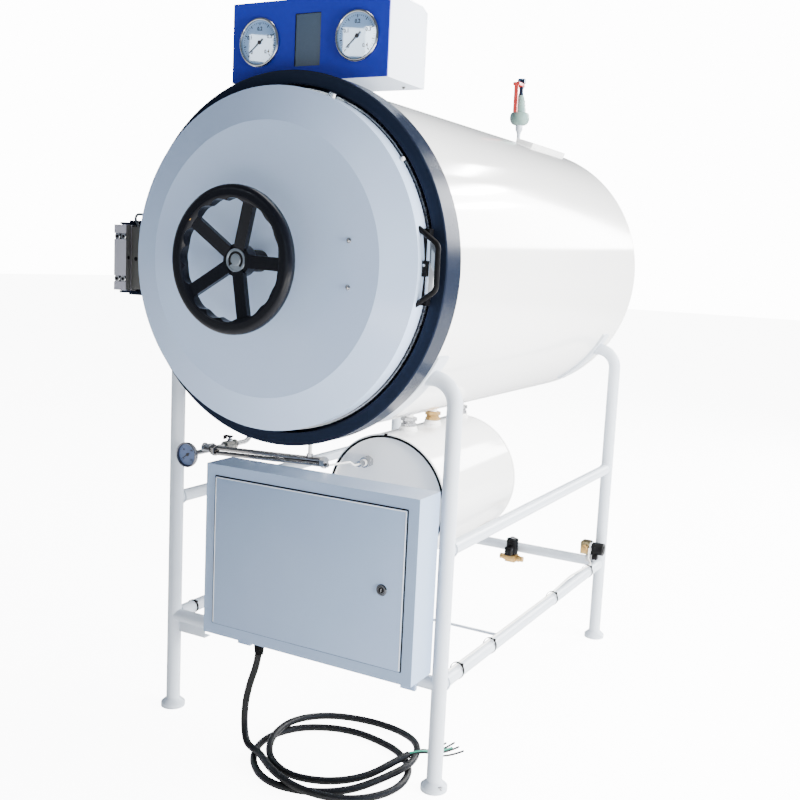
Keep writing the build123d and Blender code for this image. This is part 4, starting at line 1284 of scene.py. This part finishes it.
# %% Probe in the generator
probe_place = at(0.051, 0.366, 0.725)
probe_nut = turned_piece("probe_nut", probe_place, front, [
    (0.0150, 0.0), (0.0160, 0.0010), (0.0160, 0.0130), (0.0145, 0.0145), (0.0, 0.0145)], sides=6)
finish_piece(probe_nut, bright_steel, angle=20)
probe_neck = turned_piece("probe_neck", probe_place, front, [
    (0.0085, 0.0130), (0.0085, 0.0220), (0.0100, 0.0226), (0.0100, 0.0300), (0.0078, 0.0320),
    (0.0078, 0.0440), (0.0040, 0.0470), (0.0, 0.0475)], sides=32)
finish_piece(probe_neck, insulator_white)
probe_wire = bent_pipe("probe_wire", [
    probe_place + front * 0.044, probe_place + front * 0.075, at(0.062, 0.250, 0.742),
    at(0.058, 0.152, 0.748)], 0.012, 0.0028, sides=12)
finish_piece(probe_wire, insulator_white)
print("probe: nut, insulator and wire")

# %% [markdown]
# Two drawn tubes run side by side from the tee on the left to the middle of the machine. Their ends are held
# by nuts, and a smooth dark metal shows as dark and bright stripes. A thin vent rises from the upper tube.

# %% Header tubes and their nuts
header_y = 0.140
tube_ends = {
    "upper": (at(-0.3030, header_y, 0.7480), at(0.0570, header_y, 0.7630)),
    "lower": (at(-0.2950, header_y, 0.7350), at(0.0650, header_y, 0.7510))}
for label, ends in tube_ends.items():
    tube = bent_pipe("header_tube_" + label, ends, straight, 0.0062, sides=28)
    finish_piece(tube, drawn_steel)
upper_left, upper_right = tube_ends["upper"]
header_run = (upper_right - upper_left).normalized()
nut_left, nut_right = at(-0.300, header_y, 0.7415), at(0.046, header_y, 0.7560)
header_nut = turned_piece("header_nut_left", nut_left, header_run, [
    (0.0140, 0.0), (0.0154, 0.0012), (0.0154, 0.0120), (0.0140, 0.0132), (0.0, 0.0132)], sides=6)
finish_piece(header_nut, drawn_steel, angle=20)
copied(header_nut, "header_nut_right", nut_right - nut_left, material=bright_steel)
vent_x = 0.010
vent_ends = [at(vent_x, header_y, 0.764), at(vent_x, header_y, 0.852)]
vent = bent_pipe("header_vent", vent_ends, straight, 0.0052, sides=20)
finish_piece(vent, insulator_white)
vent_nut = turned_piece("header_vent_nut", at(vent_x, header_y, 0.7650), up, [
    (0.0078, 0.0), (0.0086, 0.0008), (0.0086, 0.0080), (0.0078, 0.0088), (0.0, 0.0088)], sides=6)
finish_piece(vent_nut, bright_steel, angle=20)
print("header tubes:", len(tube_ends), "nuts: 2, vent: 1")

# %% [markdown]
# The thermometer faces the front on a short stem. It is built like the gauges, only smaller and with a
# darker case, and its scale counts in steps of fifty.

# %% Thermometer
meter_steel = metal("meter_steel", (0.20, 0.20, 0.22), 0.22)
slot_of["meter_steel"] = "bright_steel"
meter_place = at(-0.354, 0.1070, 0.727)
meter_case = turned_piece("meter_case", meter_place, front, [
    (0.0240, 0.0), (0.0325, 0.0010), (0.0335, 0.0040), (0.0340, 0.0100), (0.0332, 0.0122),
    (0.0316, 0.0130), (0.0300, 0.0122), (0.0292, 0.0100), (0.0288, 0.0046), (0.0, 0.0046)], sides=72)
finish_piece(meter_case, meter_steel, replaces=("drain_header",))
meter_dial = turned_piece("meter_dial", meter_place, front, [(0.0286, 0.0045), (0.0286, 0.0054)], sides=64)
finish_piece(meter_dial, dial_blue)
meter_face = meter_place + front * 0.0054
dial_print("meter_print", meter_face, 0.0282, 15, ("0", "50", "100", "150"))
meter_needle = bar_on_dial("meter_needle", meter_face, -124, -0.008, 0.0235, 0.0036, 0.0005, 0.0008, 0.35)
finish_piece(meter_needle, dial_ink)
meter_hub = turned_piece("meter_hub", meter_face, front, [
    (0.0046, 0.0), (0.0046, 0.0014), (0.0, 0.0018)], sides=32)
finish_piece(meter_hub, dial_ink)
print("thermometer at", [round(c, 3) for c in meter_place])

# %% [markdown]
# A stem carries the thermometer to the tee, and a branch runs back from the tee and up to the vessel. Both
# are the same drawn tube, bent in one piece.

# %% Tee, stem and branch
branch_x, branch_z = -0.318, 0.740
stem_radius = 0.0068
stem = bent_pipe("meter_stem", [
    at(-0.354, 0.106, 0.727), at(-0.354, header_y, 0.727), at(branch_x, header_y, 0.738)], 0.012,
    stem_radius, sides=24)
finish_piece(stem, bright_steel)
branch = bent_pipe("header_branch", [
    at(branch_x, header_y, branch_z), at(branch_x, 0.330, branch_z), at(branch_x, 0.330, 0.958)], 0.030,
    stem_radius, sides=24)
finish_piece(branch, stainless)
tee_body = turned_piece("header_tee", at(-0.331, header_y, 0.7455), right, [
    (0.0105, 0.0), (0.0125, 0.0012), (0.0125, 0.0060), (0.0108, 0.0072), (0.0108, 0.0190),
    (0.0125, 0.0202), (0.0125, 0.0268), (0.0105, 0.0280), (0.0, 0.0280)], sides=40)
finish_piece(tee_body, bright_steel)
tee_arm = turned_piece("header_tee_arm", at(branch_x, header_y, 0.7420), back, [
    (0.0105, 0.0), (0.0105, 0.0150), (0.0125, 0.0162), (0.0125, 0.0240), (0.0105, 0.0252), (0.0, 0.0252)],
    sides=40)
finish_piece(tee_arm, bright_steel)
print("tee and two tubes")

# %% [markdown]
# A quarter-turn hand valve sits in the branch. Its body is a turned barrel of plated brass, and a short black
# lever with a bent end stands on the spindle.

# %% Hand valve in the branch
valve_mid = 0.235
barrel = turned_piece("hand_valve_barrel", at(branch_x, valve_mid - 0.024, branch_z), back, [
    (0.0100, 0.0), (0.0130, 0.0010), (0.0130, 0.0100), (0.0110, 0.0110), (0.0128, 0.0180),
    (0.0132, 0.0240), (0.0128, 0.0300), (0.0110, 0.0370), (0.0130, 0.0380), (0.0130, 0.0470),
    (0.0100, 0.0480), (0.0, 0.0480)], sides=40)
finish_piece(barrel, plated_brass, replaces=("drain_hand_valve",))
spindle = turned_piece("hand_valve_spindle", at(branch_x, valve_mid, 0.7480), up, [
    (0.0075, 0.0), (0.0075, 0.0080), (0.0050, 0.0090), (0.0050, 0.0170), (0.0, 0.0170)], sides=32)
finish_piece(spindle, bright_steel)
lever_y0, lever_y1 = valve_mid - 0.007, valve_mid + 0.007
lever_top = soft_block("lever_top", (-0.3370, lever_y0, 0.7610), (-0.3110, lever_y1, 0.7660), edge=0.0016)
lever_tip = soft_block("lever_tip", (-0.3370, lever_y0, 0.7540), (-0.3325, lever_y1, 0.7650), edge=0.0014)
finish_piece(joined("hand_valve_lever", [lever_top, lever_tip]), matt_black)
print("hand valve: barrel, spindle and lever")

# %% [markdown]
# A solenoid valve is a brass body with its coil on top. The coil is a black cylinder under a steel nut, and
# a square plug on its side brings the wires. The first valve stands before the rear cross rail.

# %% Drain solenoid
drain_place = at(0.108, 1.308, 0.240)
drain_body = soft_block("drain_valve_body", (0.0885, 1.2890, 0.2270), (0.1275, 1.3270, 0.2530), edge=0.0030)
finish_piece(drain_body, brass_metal, replaces=("solenoid_valves",))
drain_port = turned_piece("drain_port_right", drain_place + right * 0.0180, right, [
    (0.0118, 0.0), (0.0118, 0.0110), (0.0098, 0.0120), (0.0098, 0.0250), (0.0062, 0.0258), (0.0, 0.0258)],
    sides=32)
finish_piece(drain_port, brass_metal)
copied(drain_port, "drain_port_left", about=drain_place, degrees=180)
drain_coil = turned_piece("drain_coil", drain_place + up * 0.0130, up, [
    (0.0120, 0.0), (0.0120, 0.0040), (0.0196, 0.0044), (0.0208, 0.0060), (0.0208, 0.0540), (0.0196, 0.0560),
    (0.0110, 0.0562), (0.0, 0.0562)], sides=48)
finish_piece(drain_coil, matt_black)
drain_nut = turned_piece("drain_nut", drain_place + up * 0.0692, up, [
    (0.0090, 0.0), (0.0098, 0.0008), (0.0098, 0.0052), (0.0060, 0.0064), (0.0, 0.0064)], sides=6)
finish_piece(drain_nut, bright_steel, angle=20)
drain_plug = soft_block("drain_plug", (0.0960, 1.2650, 0.2560), (0.1200, 1.2900, 0.2860), edge=0.0024)
finish_piece(drain_plug, matt_black)
drain_strap = soft_block("drain_strap", (0.0980, 1.3260, 0.2440), (0.1180, 1.3462, 0.2470), edge=0.0010)
finish_piece(drain_strap, bright_steel)
print("drain solenoid at", [round(c, 3) for c in drain_place])

# %% [markdown]
# The second valve lies on its side on the right lower rail, so its coil points away from the machine.

# %% Steam solenoid
steam_place = at(0.3840, 1.300, 0.330)
steam_body = soft_block("steam_valve_body", (0.3640, 1.2800, 0.3080), (0.3960, 1.3200, 0.3520), edge=0.0034)
finish_piece(steam_body, worn_brass)
steam_port = turned_piece("steam_port_front", steam_place + front * 0.0190, front, [
    (0.0135, 0.0), (0.0135, 0.0120), (0.0112, 0.0130), (0.0112, 0.0220), (0.0078, 0.0228), (0.0, 0.0228)],
    sides=32)
finish_piece(steam_port, brass_metal)
copied(steam_port, "steam_port_back", about=steam_place, degrees=180)
steam_ring = turned_piece("steam_nut", steam_place + right * 0.0115, right, [
    (0.0210, 0.0), (0.0226, 0.0010), (0.0226, 0.0066), (0.0210, 0.0078), (0.0, 0.0078)], sides=40)
finish_piece(steam_ring, polished)
steam_coil = turned_piece("steam_coil", steam_place + right * 0.0195, right, [
    (0.0110, 0.0), (0.0196, 0.0006), (0.0210, 0.0022), (0.0210, 0.0352), (0.0196, 0.0370), (0.0120, 0.0372),
    (0.0110, 0.0394), (0.0, 0.0396)], sides=48)
finish_piece(steam_coil, matt_black)
steam_plug = soft_block("steam_plug", (0.4060, 1.2840, 0.2940), (0.4230, 1.3020, 0.3120), edge=0.0024)
finish_piece(steam_plug, matt_black)
steam_strap = soft_block("steam_strap", (0.3820, 1.2900, 0.2820), (0.4120, 1.3100, 0.3090), edge=0.0012)
finish_piece(steam_strap, bright_steel)
print("steam solenoid at", [round(c, 3) for c in steam_place])

# %% [markdown]
# The safety valve stands on the vessel's back on a thin painted neck. Its body is one lathe profile: a round
# open cup, the cone of the bonnet and its threads. The stem and the hexagon cap above it are blued steel.

# %% Safety valve
valve_foot = at(0, 1.390, 0)
valve_neck = turned_piece("valve_neck", valve_foot + up * 1.6600, up, [
    (0.0160, 0.0), (0.0160, 0.0150), (0.0120, 0.0180), (0.0062, 0.0230), (0.0062, 0.0560), (0.0085, 0.0640),
    (0.0118, 0.0700), (0.0125, 0.0760), (0.0125, 0.0880), (0.0, 0.0900)], sides=40)
finish_piece(valve_neck, frame_white, replaces=("safety_valve",))
valve_cup = turned_piece("valve_cup", valve_foot + up * 1.7460, up, [
    (0.0130, 0.0), (0.0205, 0.0018), (0.0268, 0.0060), (0.0312, 0.0122), (0.0336, 0.0200),
    (0.0339, 0.0280), (0.0324, 0.0360), (0.0302, 0.0410), (0.0284, 0.0420), (0.0270, 0.0400),
    (0.0262, 0.0360), (0.0200, 0.0370), (0.0196, 0.0560), (0.0180, 0.0600), (0.0172, 0.0640),
    (0.0180, 0.0680), (0.0164, 0.0720), (0.0156, 0.0760), (0.0164, 0.0800), (0.0140, 0.0860),
    (0.0112, 0.0980), (0.0104, 0.1010), (0.0, 0.1010)], sides=56)
finish_piece(valve_cup, valve_green)
valve_stem = turned_piece("valve_stem", valve_foot + up * 1.8450, up, [
    (0.0084, 0.0), (0.0084, 0.0090), (0.0070, 0.0100), (0.0070, 0.0240), (0.0082, 0.0250),
    (0.0082, 0.0420), (0.0, 0.0420)], sides=32)
finish_piece(valve_stem, blued_steel)
valve_cap = turned_piece("valve_cap_nut", valve_foot + up * 1.8865, up, [
    (0.0130, 0.0), (0.0148, 0.0012), (0.0148, 0.0130), (0.0120, 0.0165), (0.0, 0.0172)], sides=6)
finish_piece(valve_cap, blued_steel, angle=20)
fork_out, fork_in, fork_low = 0.0112, 0.0080, 1.8745
fork_parts = []
for side, x0, x1 in (("left", -fork_out, -fork_in), ("right", fork_in, fork_out)):
    low, high = (x0, 1.3405, fork_low), (x1, 1.3920, 1.8855)
    fork_parts.append(soft_block("valve_fork_" + side, low, high, edge=0.0014))
low, high = (-fork_out, 1.3760, fork_low), (fork_out, 1.3960, 1.8785)
fork_parts.append(soft_block("valve_fork_bridge", low, high, edge=0.0012))
finish_piece(joined("valve_fork", fork_parts), lever_red)
fork_pin = turned_piece("valve_fork_pin", at(-0.0130, 1.346, 1.880), right, [
    (0.0024, 0.0), (0.0024, 0.0260), (0.0, 0.0260)], sides=20)
finish_piece(fork_pin, bright_steel)
print("safety valve on its neck at", [round(c, 3) for c in valve_foot])
